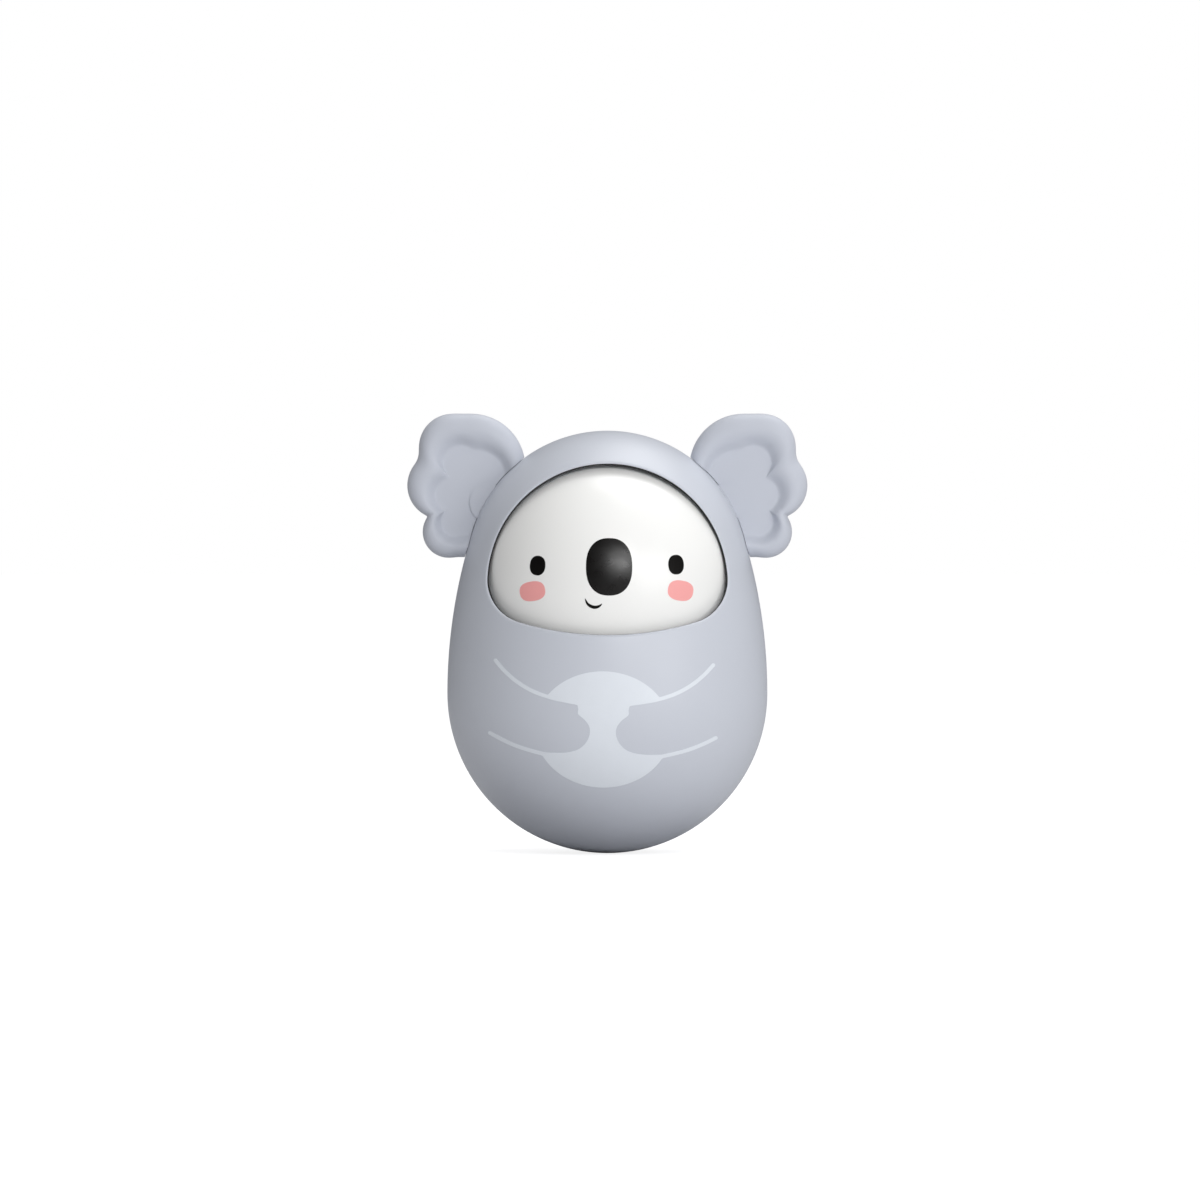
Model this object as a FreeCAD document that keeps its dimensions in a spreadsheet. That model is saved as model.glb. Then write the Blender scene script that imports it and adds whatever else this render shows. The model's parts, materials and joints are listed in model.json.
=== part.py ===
import FreeCAD, Part
import math
import os

import Sketcher

# A roly poly toy: an egg-shaped body with a cast weight in its round bottom, two soft ears, and a
# face ball that turns and nods in the hood of the body. A bell with a free clapper hangs inside.
#
# Millimetres. The origin is the point of the round bottom that touches the table, +Z is up, and the
# face looks along -Y. Left and right are as seen from the front.

Vector = FreeCAD.Vector
Rotation = FreeCAD.Rotation

doc = FreeCAD.newDocument("roly_poly_toy")

# ----------------------------------------------------------------------------------------------
# Driving sizes: name, value in millimetres (angles in degrees), what it is
# ----------------------------------------------------------------------------------------------

SIZES = (
    # the egg-shaped body
    ("body_diameter", 100.0, "largest width of the body; its lower half is half a ball"),
    ("body_height", 132.0, "table to crown"),
    ("crown_step", 6.1, "how much smaller the crown's radius is than the bottom's"),
    ("shell_wall", 2.4, "wall of both shells"),
    ("tongue_wall", 1.1, "thickness of the tongue that locates the shells at their seam"),
    ("tongue_depth", 1.5, "how far the tongue reaches into the front shell"),
    ("tongue_gap", 0.1, "clearance round the tongue"),
    # the opening for the face
    ("opening_top", 121.7, "height of the top of the opening"),
    ("opening_top_radius", 37.2, "radius of its round top"),
    ("opening_bottom", 69.2, "height of its lowest point"),
    ("opening_bottom_radius", 100.0, "radius of its lower lip"),
    ("opening_corner_radius", 13.3, "radius of its two lower corners"),
    ("lip_round", 1.2, "rounding of the lip's outer edge"),
    # the screws that close the shells
    ("shell_tube_radius", 3.5, "outside of the screw tubes in the rear shell"),
    ("shell_boss_radius", 2.6, "outside of the screw bosses in the front shell"),
    ("boss_overlap", 0.8, "how far each tube sinks into the wall beside it"),
    ("shell_screw_seat", 3.0, "thickness under the screw heads"),
    ("crown_screw_angle", 25.0, "upper pair, from the vertical about the crown's centre"),
    ("side_screw_angle", 40.0, "middle pair, below the horizontal about the ball's centre"),
    ("tube_gap", 1.2, "clearance between the screw tubes and what they pass"),
    ("low_screw_z", 31.0, "height of the lower pair"),
    # screws, one kind for plastic and metal throughout
    ("screw_radius", 1.15, "outside of the screw thread"),
    ("screw_head_radius", 2.1, "screw head"),
    ("screw_head_height", 1.6, "screw head"),
    ("screw_length", 9.0, "under the head"),
    ("screw_slot", 0.6, "width of the cross recess"),
    ("screw_gap", 0.2, "clearance round a screw where it passes through or sits in a counterbore"),
    # the ears
    ("ear_thickness", 9.0, "largest thickness, at the upper lobe"),
    ("ear_gap", 0.15, "clearance between an ear and the shells"),
    ("ear_upper_x", 42.5, "upper lobe, from the middle of the toy"),
    ("ear_upper_z", 120.4, "upper lobe, height of its centre"),
    ("ear_upper_radius", 16.9, "upper lobe"),
    ("ear_outer_x", 51.9, "outer lobe, from the middle of the toy"),
    ("ear_outer_z", 114.9, "outer lobe, height of its centre"),
    ("ear_outer_radius", 10.5, "outer lobe"),
    ("ear_lower_x", 49.6, "lower lobe, from the middle of the toy"),
    ("ear_lower_z", 100.4, "lower lobe, height of its centre"),
    ("ear_lower_radius", 8.1, "lower lobe"),
    ("recess_depth", 2.6, "depth of the hollow in the front of the ear"),
    ("recess_slope", 1.4, "how much wider the hollow is at its mouth"),
    ("recess_upper_x", 42.3, "hollow of the upper lobe"),
    ("recess_upper_z", 118.6, "hollow of the upper lobe"),
    ("recess_upper_radius", 8.6, "hollow of the upper lobe"),
    ("recess_outer_x", 48.6, "hollow of the outer lobe"),
    ("recess_outer_z", 112.2, "hollow of the outer lobe"),
    ("recess_outer_radius", 4.8, "hollow of the outer lobe"),
    ("recess_lower_x", 46.2, "hollow of the lower lobe"),
    ("recess_lower_z", 103.7, "hollow of the lower lobe"),
    ("recess_lower_radius", 5.0, "hollow of the lower lobe"),
    ("recess_root_x", 41.0, "hollow beside the body"),
    ("recess_root_z", 110.0, "hollow beside the body"),
    ("recess_root_radius", 6.5, "hollow beside the body"),
    ("ear_neck_angle", 30.0, "where the ear's neck enters, above the horizontal about the crown"),
    ("ear_neck_radius", 6.0, "neck, a flat disc that crosses the wall"),
    ("ear_neck_thickness", 5.0, "neck"),
    ("ear_flange_radius", 9.0, "flange that holds the ear inside the wall"),
    ("ear_flange_thickness", 2.0, "flange, measured from the wall inwards"),
    ("ear_flange_width", 9.0, "flange, from front to back"),
    # the face ball
    ("head_radius", 39.8, "face ball"),
    ("head_gap", 0.5, "clearance round the face ball inside the hood"),
    ("head_z", 84.2, "height of its centre"),
    ("head_setforward", 8.0, "its centre stands this far in front of the middle of the body"),
    ("head_wall", 2.2, "wall of the ball"),
    ("head_cut", 23.0, "the ball is open this far below its centre"),
    ("head_boss_radius", 3.1, "outside of its screw tubes"),
    ("head_boss_depth", 8.0, "how far the bosses reach into its front half"),
    ("head_screw_high", 40.0, "upper pair of screws, above the horizontal"),
    ("head_screw_low", 20.0, "lower pair of screws, below the horizontal"),
    ("head_screw_seat", 3.0, "thickness under the screw heads"),
    ("nod_down", 16.0, "how far the face nods down"),
    ("nod_up", 8.0, "how far it nods up"),
    ("turn_limit", 14.0, "how far the face turns to each side"),
    ("stop_gap", 0.3, "room left at each stop"),
    ("turn_stop_gap", 1.5, "angle left at each end of the turn"),
    # the axle and the fork
    ("axle_radius", 2.0, "nod axle"),
    ("axle_length", 44.0, "nod axle"),
    ("axle_chamfer", 0.4, "nod axle"),
    ("axle_boss_radius", 4.5, "sockets in the ball that grip the axle"),
    ("running_gap", 0.06, "clearance round a shaft that turns"),
    ("grip_gap", 0.02, "clearance round a shaft that is gripped"),
    ("fork_inside", 14.0, "width between the fork's arms"),
    ("fork_arm", 4.0, "thickness of each arm"),
    ("fork_arm_width", 9.0, "front to back, and the round of the arm's top"),
    ("fork_side_gap", 0.5, "between the fork and the ball's sockets"),
    ("fork_base_radius", 12.0, "disc that turns on the neck post"),
    ("fork_base_thickness", 3.5, "disc that turns on the neck post"),
    ("fork_drop", 14.0, "from the axle down to the underside of the disc"),
    ("fork_play", 0.1, "play of the disc on the post's spigot"),
    # the neck post
    ("spigot_radius", 3.0, "top of the post, inside the fork"),
    ("post_radius", 5.0, "post"),
    ("collar_radius", 9.0, "collar below the fork"),
    ("collar_height", 3.6, "collar below the fork"),
    ("lug_angle", 24.0, "width of the fork's stop lug, seen from above"),
    ("lug_height", 3.0, "the lug, which runs in a gap of the collar"),
    ("post_flange_radius", 12.0, "foot of the post on the deck"),
    ("post_flange_height", 3.0, "foot of the post on the deck"),
    ("peg_radius", 1.2, "peg under the foot that stops the post from turning"),
    ("peg_place", 8.5, "from the middle of the post to the peg"),
    ("peg_length", 2.0, "peg under the foot"),
    ("washer_radius", 5.0, "washer on the spigot"),
    ("washer_thickness", 0.8, "washer on the spigot"),
    # the weight in the ball
    ("head_weight_thickness", 2.0, "steel plate low in the ball"),
    ("head_weight_level", 19.6, "from the ball's centre down to the plate's top"),
    ("head_weight_gap", 0.3, "clearance between the plate and the ball's wall"),
    ("head_ledge", 3.0, "how far the rib above the plate covers its rim"),
    ("head_ledge_thickness", 1.8, "rib above the plate"),
    # the ballast and the frame on it
    ("ballast_screw_length", 7.0, "under the head, frame to ballast"),
    ("ballast_top", 18.0, "height of the ballast's flat top"),
    ("ballast_flat", 26.0, "flat cut at the front of the ballast, which balances the toy"),
    ("ballast_gap", 0.2, "clearance between the ballast and the shells"),
    ("frame_height", 26.0, "from the ballast's top to the deck"),
    ("frame_foot_radius", 31.0, "ring that stands on the ballast"),
    ("frame_foot_inside", 20.0, "hole of the ring"),
    ("frame_foot_thickness", 2.5, "ring that stands on the ballast"),
    ("pillar_radius", 3.5, "three pillars between the ring and the deck"),
    ("pillar_circle", 26.5, "circle of the pillars and of their screws"),
    ("deck_thickness", 3.0, "deck"),
    ("deck_gap", 0.8, "clearance between the deck's edge and the shells"),
    ("deck_hole_radius", 6.0, "lightening holes of the deck"),
    ("deck_hole_circle", 34.0, "circle of the lightening holes"),
    ("ledge_width", 2.6, "how far the shells' ledge covers the deck's edge"),
    ("ledge_thickness", 2.0, "ledge above the deck"),
    ("ledge_gap", 0.2, "between the deck and the ledge"),
    ("key_width", 3.0, "ribs of the shells that stop the deck from turning"),
    ("key_depth", 2.2, "how far the ribs reach into the deck's notches"),
    # the bell and its clapper
    ("bell_radius", 14.6, "outside of the bell's rim"),
    ("bell_height", 17.5, "bell"),
    ("bell_wall", 1.2, "bell"),
    ("bell_shoulder", 7.0, "radius of the bell's rounded shoulder"),
    ("bell_washer_radius", 5.0, "soft washer between the bell and the deck"),
    ("bell_washer_thickness", 0.8, "soft washer"),
    ("bolt_radius", 2.0, "eye bolt through bell, deck and post"),
    ("bell_setback", 10.0, "the bell hangs this far behind the middle of the body"),
    ("nut_width", 7.0, "nut of the bolt, across its flats"),
    ("nut_height", 3.2, "nut of the bolt"),
    ("bolt_rest", 1.0, "how far the bolt stands out of its nut"),
    ("bolt_head_radius", 4.0, "head of the bolt, under the bell"),
    ("bolt_head_height", 1.4, "head of the bolt"),
    ("tongue_plate", 2.0, "thickness of the flat tongues of the bolt and the link"),
    ("tongue_round", 2.0, "radius round each pin, and half the width of the tongues"),
    ("cheek_thickness", 1.0, "cheeks of the link and the clapper, on both sides of a tongue"),
    ("cheek_gap", 0.15, "between a cheek and a tongue, and in front of a tongue's end"),
    ("pin_radius", 0.7, "link pin and clapper pin"),
    ("bridge_thickness", 1.2, "part of the link and of the clapper that joins the cheeks"),
    ("clapper_drop", 9.0, "from the clapper pin to the centre of its ball"),
    ("clapper_radius", 4.4, "ball of the clapper"),
    ("clapper_rod_radius", 1.1, "rod of the clapper"),
)

sheet = doc.addObject("Spreadsheet::Sheet", "sizes")
for row, (size_name, size_value, size_note) in enumerate(SIZES, start=1):
    sheet.set(f"A{row}", size_name)
    sheet.set(f"B{row}", str(size_value))
    sheet.set(f"C{row}", size_note)
    sheet.setAlias(f"B{row}", size_name)
doc.recompute()

# Places that several pieces share, written once as expressions on the sheet.
BASE_RADIUS = "(sizes.body_diameter / 2)"
CROWN_RADIUS = f"({BASE_RADIUS} - sizes.crown_step)"
CROWN_CENTRE = f"(sizes.body_height - {CROWN_RADIUS})"
HEAD_Y = "(-sizes.head_setforward)"
DECK_BOTTOM = "(sizes.ballast_top + sizes.frame_height)"
DECK_TOP = f"({DECK_BOTTOM} + sizes.deck_thickness)"
INSIDE_RADIUS = f"({BASE_RADIUS} - sizes.shell_wall)"
DECK_RADIUS = f"(sqrt({INSIDE_RADIUS} ^ 2 - ({BASE_RADIUS} - {DECK_BOTTOM}) ^ 2) - sizes.deck_gap)"
FORK_BOTTOM = "(sizes.head_z - sizes.fork_drop)"
FORK_BASE_TOP = f"({FORK_BOTTOM} + sizes.fork_base_thickness)"
FORK_OUTSIDE = "(sizes.fork_inside / 2 + sizes.fork_arm)"
BELL_Y = "sizes.bell_setback"
BELL_TOP = f"({DECK_BOTTOM} - sizes.bell_washer_thickness)"
BOLT_HEAD_TOP = f"({BELL_TOP} - sizes.bell_wall)"
BOLT_HEAD_BOTTOM = f"({BOLT_HEAD_TOP} - sizes.bolt_head_height)"
HINGE_ROOM = "(sizes.tongue_round + sizes.cheek_gap)"
LINK_PIN_Z = f"({BOLT_HEAD_BOTTOM} - {HINGE_ROOM})"
CLAPPER_PIN_Z = f"({LINK_PIN_Z} - 2 * {HINGE_ROOM} - sizes.bridge_thickness)"
CLAPPER_BALL_Z = f"({CLAPPER_PIN_Z} - sizes.clapper_drop)"
FAR = "(4 * sizes.body_height)"

ALONG = {
    "X": Rotation(Vector(0, 1, 0), 90),
    "Y": Rotation(Vector(1, 0, 0), -90),
    "Z": Rotation(),
}

# ----------------------------------------------------------------------------------------------
# Small helpers: each makes one object of the document and binds its sizes
# ----------------------------------------------------------------------------------------------


def bind(item, **sizes):
    for name, expression in sizes.items():
        item.setExpression(name, expression)


def put(item, x="0", y="0", z="0", along="Z"):
    item.Placement = FreeCAD.Placement(Vector(), ALONG[along])
    for axis, place in zip("xyz", (x, y, z)):
        item.setExpression(f".Placement.Base.{axis}", place)
    return item


def cylinder(name, radius, height, along="Z", angle=None, **place):
    item = doc.addObject("Part::Cylinder", name)
    bind(item, Radius=radius, Height=height)
    if angle:
        bind(item, Angle=angle)
    return put(item, along=along, **place)


def sphere(name, radius, **place):
    item = doc.addObject("Part::Sphere", name)
    bind(item, Radius=radius)
    return put(item, **place)


def block(name, lengths, x="0", y="0", z="0"):
    """A box centred on its place."""
    item = doc.addObject("Part::Box", name)
    length, width, height = lengths
    bind(item, Length=length, Width=width, Height=height)
    corner = {"x": f"{x} - ({length}) / 2", "y": f"{y} - ({width}) / 2", "z": f"{z} - ({height}) / 2"}
    return put(item, **corner)


def slab(name, lengths, bottom, **place):
    """A box centred on X and Y that stands on the level bottom."""
    return block(name, lengths, z=f"{bottom} + ({lengths[2]}) / 2", **place)


def fuse(name, *items):
    item = doc.addObject("Part::MultiFuse", name)
    item.Shapes = list(items)
    item.Refine = True
    return item


def cut(name, base, tool):
    item = doc.addObject("Part::Cut", name)
    item.Base = base
    item.Tool = tool
    item.Refine = True
    return item


def cut_each(name, base, **tools):
    """Cut one tool after another."""
    for step, tool in tools.items():
        base = cut(f"{name}_less_{step}", base, tool)
    return base


def common(name, *items):
    item = doc.addObject("Part::MultiCommon", name)
    item.Shapes = list(items)
    item.Refine = True
    return item


def group(name, *items):
    """Identical pieces that share one node as separate solids."""
    item = doc.addObject("Part::Compound", name)
    item.Links = list(items)
    return item


pieces = []


def keep(item, label):
    """Name a finished piece of the toy."""
    item.Label = label
    pieces.append(item)
    return item


def size(name):
    return float(getattr(sheet, name))

# ----------------------------------------------------------------------------------------------
# The egg
# ----------------------------------------------------------------------------------------------


def egg(name, inset):
    """The body's egg, smaller all round by inset: three arcs that meet smoothly, turned about Z."""
    base_radius = size("body_diameter") / 2
    crown_radius = base_radius - size("crown_step")
    crown_centre = size("body_height") - crown_radius
    rise = crown_centre - base_radius
    side_radius = (base_radius**2 + rise**2 - crown_radius**2) / (2 * size("crown_step"))
    side_centre = base_radius - side_radius
    lean = math.atan2(rise, -side_centre)

    outline = doc.addObject("Sketcher::SketchObject", f"{name}_outline")
    outline.Placement = FreeCAD.Placement(Vector(), Rotation(Vector(1, 1, 1), 120))
    arcs = (
        ((0, base_radius), base_radius, -math.pi / 2, 0),
        ((side_centre, base_radius), side_radius, 0, lean),
        ((0, crown_centre), crown_radius, lean, math.pi / 2),
    )
    for (across, up), radius, start, end in arcs:
        circle = Part.Circle(Vector(across, up, 0), Vector(0, 0, 1), radius)
        outline.addGeometry(Part.ArcOfCircle(circle, start, end))
    top = Vector(0, size("body_height"), 0)
    outline.addGeometry(Part.LineSegment(top, Vector()))
    base, side, crown, axis = range(4)
    start, end, centre = 1, 2, 3
    outline.addConstraint([
        Sketcher.Constraint("Tangent", base, end, side, start),
        Sketcher.Constraint("Tangent", side, end, crown, start),
        Sketcher.Constraint("Coincident", crown, end, axis, start),
        Sketcher.Constraint("Coincident", axis, end, base, start),
        Sketcher.Constraint("PointOnObject", base, start, -2),
        Sketcher.Constraint("PointOnObject", base, centre, -2),
        Sketcher.Constraint("PointOnObject", crown, end, -2),
        Sketcher.Constraint("PointOnObject", crown, centre, -2),
        Sketcher.Constraint("Horizontal", base, centre, base, end),
    ])
    dimensions = (
        ("base_radius", ("Radius", base, base_radius), f"{BASE_RADIUS} - ({inset})"),
        ("crown_radius", ("Radius", crown, crown_radius), f"{CROWN_RADIUS} - ({inset})"),
        ("base_centre", ("DistanceY", -1, 1, base, centre, base_radius), BASE_RADIUS),
        ("crown_centre", ("DistanceY", -1, 1, crown, centre, crown_centre), CROWN_CENTRE),
    )
    dimension(outline, dimensions)
    return turn_about_z(name, outline)


def dimension(outline, dimensions):
    """Add named dimensions to a sketch and bind each to its expression."""
    for name, constraint, expression in dimensions:
        number = outline.addConstraint(Sketcher.Constraint(*constraint))
        outline.renameConstraint(number, name)
        outline.setExpression(f"Constraints.{name}", expression)


def turn_about_z(name, outline):
    item = doc.addObject("Part::Revolution", name)
    item.Source = outline
    item.Axis = Vector(0, 0, 1)
    item.Angle = 360
    item.Solid = True
    return item


body_outside = egg("body_outside", "0")
body_inside = egg("body_inside", "sizes.shell_wall")
body_wall = cut("body_wall", body_outside, body_inside)

front_space = block("front_space", (FAR, FAR, FAR), y=f"-{FAR} / 2")
rear_space = block("rear_space", (FAR, FAR, FAR), y=f"{FAR} / 2")

# ----------------------------------------------------------------------------------------------
# Turned pieces and screws
# ----------------------------------------------------------------------------------------------


def draw_polygon(outline, corners):
    """Draw a closed outline whose corners (radius, height) are expressions."""
    count = len(corners)
    for number in range(count):
        angles = [2 * math.pi * step / count for step in (number, number + 1)]
        ends = [Vector(30 + math.cos(angle), math.sin(angle), 0) for angle in angles]
        outline.addGeometry(Part.LineSegment(*ends))
    for number in range(count):
        outline.addConstraint(Sketcher.Constraint("Coincident", (number - 1) % count, 2, number, 1))
    for number, (radius, height) in enumerate(corners):
        dimension(outline, (
            (f"radius_{number}", ("DistanceX", -1, 1, number, 1, 1.0), radius),
            (f"height_{number}", ("DistanceY", -1, 1, number, 1, 1.0), height),
        ))


def turned(name, corners):
    """A body of revolution about Z."""
    body = doc.addObject("PartDesign::Body", name)
    outline = body.newObject("Sketcher::SketchObject", f"{name}_outline")
    plane = next(item for item in body.Origin.OriginFeatures if item.Role == "XZ_Plane")
    outline.AttachmentSupport = [(plane, "")]
    outline.MapMode = "FlatFace"
    draw_polygon(outline, corners)
    turning = body.newObject("PartDesign::Revolution", f"{name}_turning")
    turning.Profile = outline
    turning.ReferenceAxis = (outline, ["V_Axis"])
    turning.Angle = 360
    return body


def ring(name, inside, outside, bottom, thickness):
    top = f"{bottom} + {thickness}"
    return turned(name, ((inside, bottom), (outside, bottom), (outside, top), (inside, top)))


def screw(name, along, x="0", y="0", z="0", length="sizes.screw_length", head_down=False):
    """A plain thread and a round head with a cross recess. The place is the underside of the
    head, which points along +Y or +Z, or with head_down along -Z."""
    def raised(amount):
        place = {"x": x, "y": y, "z": z}
        place[along.lower()] += f" + {amount}"
        return place

    height = "sizes.screw_head_height"
    thread_start, head_start, recess_middle = f"-({length})", "0", height
    if head_down:
        thread_start, head_start, recess_middle = "0", f"-{height}", f"-{height}"
    thread = cylinder(f"{name}_thread", "sizes.screw_radius", length, along, **raised(thread_start))
    head = cylinder(f"{name}_head", "sizes.screw_head_radius", height, along, **raised(head_start))
    arms = []
    for across in "XYZ".replace(along, ""):
        lengths = {axis: "sizes.screw_slot" for axis in "XYZ"}
        lengths[across] = "sizes.screw_head_radius * 1.3"
        lengths[along] = height
        arms.append(block(f"{name}_recess_{across}", tuple(lengths.values()), **raised(recess_middle)))
    return cut(name, fuse(f"{name}_body", thread, head), fuse(f"{name}_recess", *arms))


# ----------------------------------------------------------------------------------------------
# The shells
# ----------------------------------------------------------------------------------------------

SIDES = {"left": "-1", "right": "1"}

crown_reach = f"({CROWN_RADIUS} - sizes.shell_wall - sizes.shell_boss_radius + sizes.boss_overlap)"
side_reach = "(sizes.head_radius + sizes.shell_tube_radius + sizes.tube_gap)"
screw_levels = {
    "crown": (f"{crown_reach} * sin(sizes.crown_screw_angle)",
              f"{CROWN_CENTRE} + {crown_reach} * cos(sizes.crown_screw_angle)"),
    "side": (f"{side_reach} * cos(sizes.side_screw_angle)",
             f"sizes.head_z - {side_reach} * sin(sizes.side_screw_angle)"),
    "low": ("(sizes.pillar_circle * cos(30) + sizes.pillar_radius + sizes.tube_gap"
            " + sizes.shell_tube_radius)", "sizes.low_screw_z"),
}

front_bosses = []
rear_tubes = []
rear_holes = []
front_holes = []
shell_screws = []
shell_pilot = "(sizes.screw_length - sizes.shell_screw_seat + sizes.screw_gap)"
for level, (screw_x, screw_z) in screw_levels.items():
    for side, sign in SIDES.items():
        name = f"{level}_{side}"
        spot = {"x": f"{sign} * {screw_x}", "z": screw_z}
        front_bosses.append(cylinder(
            f"boss_{name}", "sizes.shell_boss_radius", BASE_RADIUS, "Y", y=f"-{BASE_RADIUS}", **spot))
        rear_tubes.append(cylinder(f"tube_{name}", "sizes.shell_tube_radius", BASE_RADIUS, "Y", **spot))
        rear_holes.append(cylinder(
            f"counterbore_{name}", "sizes.screw_head_radius + sizes.screw_gap", BASE_RADIUS,
            "Y", y="sizes.shell_screw_seat", **spot))
        rear_holes.append(cylinder(
            f"passage_{name}", "sizes.screw_radius + sizes.screw_gap",
            "sizes.tongue_depth * 2 + sizes.shell_screw_seat", "Y", y="-sizes.tongue_depth * 2", **spot))
        front_holes.append(cylinder(
            f"pilot_{name}", "sizes.screw_radius", shell_pilot, "Y", y=f"-{shell_pilot}", **spot))
        shell_screws.append(screw(f"shell_screw_{name}", "Y", y="sizes.shell_screw_seat", **spot))

# A ledge over the deck's edge, and two ribs that stop the deck from turning.
ledge_bottom = f"({DECK_TOP} + sizes.ledge_gap)"
ledge = cut(
    "ledge",
    cylinder("ledge_disc", BASE_RADIUS, "sizes.ledge_thickness", z=ledge_bottom),
    cylinder("ledge_hole", f"{DECK_RADIUS} - sizes.ledge_width", "sizes.ledge_thickness", z=ledge_bottom))
key_inside = f"({DECK_RADIUS} - sizes.key_depth)"
key_length = f"({BASE_RADIUS} - {key_inside})"
key_height = "(sizes.deck_thickness + sizes.ledge_gap + sizes.ledge_thickness)"
keys = [
    slab(f"key_{side}", (key_length, "sizes.key_width", key_height), DECK_BOTTOM,
         x=f"{sign} * ({key_inside} + {key_length} / 2)")
    for side, sign in SIDES.items()
]

mid_wall = egg("mid_wall", "sizes.shell_wall / 2")


# The tongue on the rear shell and its groove in the front shell.
tongue_inset = "sizes.shell_wall - sizes.tongue_wall"
tongue_space = block("tongue_space", (FAR, "sizes.tongue_depth", FAR), y="-sizes.tongue_depth / 2")
tongue = common("tongue", cut("tongue_ring", egg("tongue_outside", tongue_inset), body_inside), tongue_space)
groove_space = block("groove_space", (FAR, "2 * (sizes.tongue_depth + sizes.tongue_gap)", FAR))
groove_outside = egg("groove_outside", f"{tongue_inset} - sizes.tongue_gap")
groove_inside = egg("groove_inside", "sizes.shell_wall + sizes.tongue_gap")
groove = common("groove", cut("groove_ring", groove_outside, groove_inside), groove_space)

# One half of the wall each, with what stands inside it.
rear_wall = common("rear_wall", body_wall, rear_space)
rear_work = common("rear_work", fuse("rear_work_whole", ledge, *keys, *rear_tubes), mid_wall, rear_space)
rear_blank = fuse("rear_blank", rear_wall, rear_work)
front_wall = common("front_wall", body_wall, front_space)
front_work = common(
    "front_work", fuse("front_work_whole", ledge, *keys, *front_bosses), mid_wall, front_space)
front_blank = fuse(
    "front_blank",
    cut("front_wall_grooved", front_wall, groove), cut("front_work_grooved", front_work, groove))

# Slots for the ears' necks, half in each shell.
neck_reach = f"({CROWN_RADIUS} - sizes.shell_wall / 2)"
neck_x = f"{neck_reach} * cos(sizes.ear_neck_angle)"
neck_z = f"{CROWN_CENTRE} + {neck_reach} * sin(sizes.ear_neck_angle)"


def ear_disc(name, side, radius, width):
    """A disc in the seam, centred where the ear's neck crosses the wall."""
    return cylinder(name, radius, width, "Y", x=f"{SIDES[side]} * {neck_x}", y=f"-({width}) / 2", z=neck_z)


ear_slots = [
    ear_disc(f"slot_{side}", side, "sizes.ear_neck_radius + sizes.ear_gap",
             "sizes.ear_neck_thickness + 2 * sizes.ear_gap")
    for side in SIDES
]


def draw_opening():
    """The outline of the face opening: two large arcs joined by two corner arcs."""
    top_radius = size("opening_top_radius")
    low_radius = size("opening_bottom_radius")
    corner_radius = size("opening_corner_radius")
    top_centre = size("opening_top") - top_radius
    low_centre = size("opening_bottom") + low_radius
    gap = low_centre - top_centre
    above = ((top_radius - corner_radius) ** 2 - (low_radius - corner_radius) ** 2 + gap**2) / (2 * gap)
    corner_x = math.sqrt((top_radius - corner_radius) ** 2 - above**2)
    corner_z = top_centre + above
    top_end = math.atan2(above, corner_x)
    low_end = math.atan2(corner_z - low_centre, corner_x)
    half_turn = math.pi

    outline = doc.addObject("Sketcher::SketchObject", "opening_outline")
    outline.Placement = FreeCAD.Placement(Vector(), Rotation(Vector(1, 0, 0), 90))
    arcs = (
        ((0, top_centre), top_radius, top_end, half_turn - top_end),
        ((-corner_x, corner_z), corner_radius, half_turn - top_end, 2 * half_turn - low_end - half_turn),
        ((0, low_centre), low_radius, half_turn - low_end, 2 * half_turn + low_end),
        ((corner_x, corner_z), corner_radius, low_end, top_end),
    )
    for (across, up), radius, start, end in arcs:
        circle = Part.Circle(Vector(across, up, 0), Vector(0, 0, 1), radius)
        outline.addGeometry(Part.ArcOfCircle(circle, start, end))
    top, left, low, right = range(4)
    start, end, centre = 1, 2, 3
    outline.addConstraint([
        Sketcher.Constraint("Tangent", top, end, left, start),
        Sketcher.Constraint("Tangent", left, end, low, start),
        Sketcher.Constraint("Tangent", low, end, right, start),
        Sketcher.Constraint("Tangent", right, end, top, start),
        Sketcher.Constraint("PointOnObject", top, centre, -2),
        Sketcher.Constraint("PointOnObject", low, centre, -2),
        Sketcher.Constraint("Equal", left, right),
    ])
    dimension(outline, (
        ("top_radius", ("Radius", top, top_radius), "sizes.opening_top_radius"),
        ("low_radius", ("Radius", low, low_radius), "sizes.opening_bottom_radius"),
        ("corner_radius", ("Radius", right, corner_radius), "sizes.opening_corner_radius"),
        ("top_centre", ("DistanceY", -1, 1, top, centre, top_centre),
         "sizes.opening_top - sizes.opening_top_radius"),
        ("low_centre", ("DistanceY", -1, 1, low, centre, low_centre),
         "sizes.opening_bottom + sizes.opening_bottom_radius"),
    ))
    return outline


opening = doc.addObject("Part::Extrusion", "opening")
opening.Base = draw_opening()
opening.DirMode = "Normal"
bind(opening, LengthFwd="sizes.body_diameter")
opening.Solid = True

rear_shell = cut_each(
    "rear_shell", fuse("rear_shell_whole", rear_blank, tongue),
    holes=fuse("rear_holes", *rear_holes), slots=fuse("rear_slots", *ear_slots))
keep(rear_shell, "rear_shell")

front_open = cut("front_open", front_blank, opening)
doc.recompute()


def edges_on(item, *surfaces):
    """Numbers of the edges of a shape that lie on each of the given shapes."""
    numbers = []
    for number, edge in enumerate(item.Shape.Edges, start=1):
        middle = Part.Vertex(edge.valueAt((edge.FirstParameter + edge.LastParameter) / 2))
        if all(surface.distToShape(middle)[0] < 1e-3 for surface in surfaces):
            numbers.append(number)
    return numbers


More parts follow.
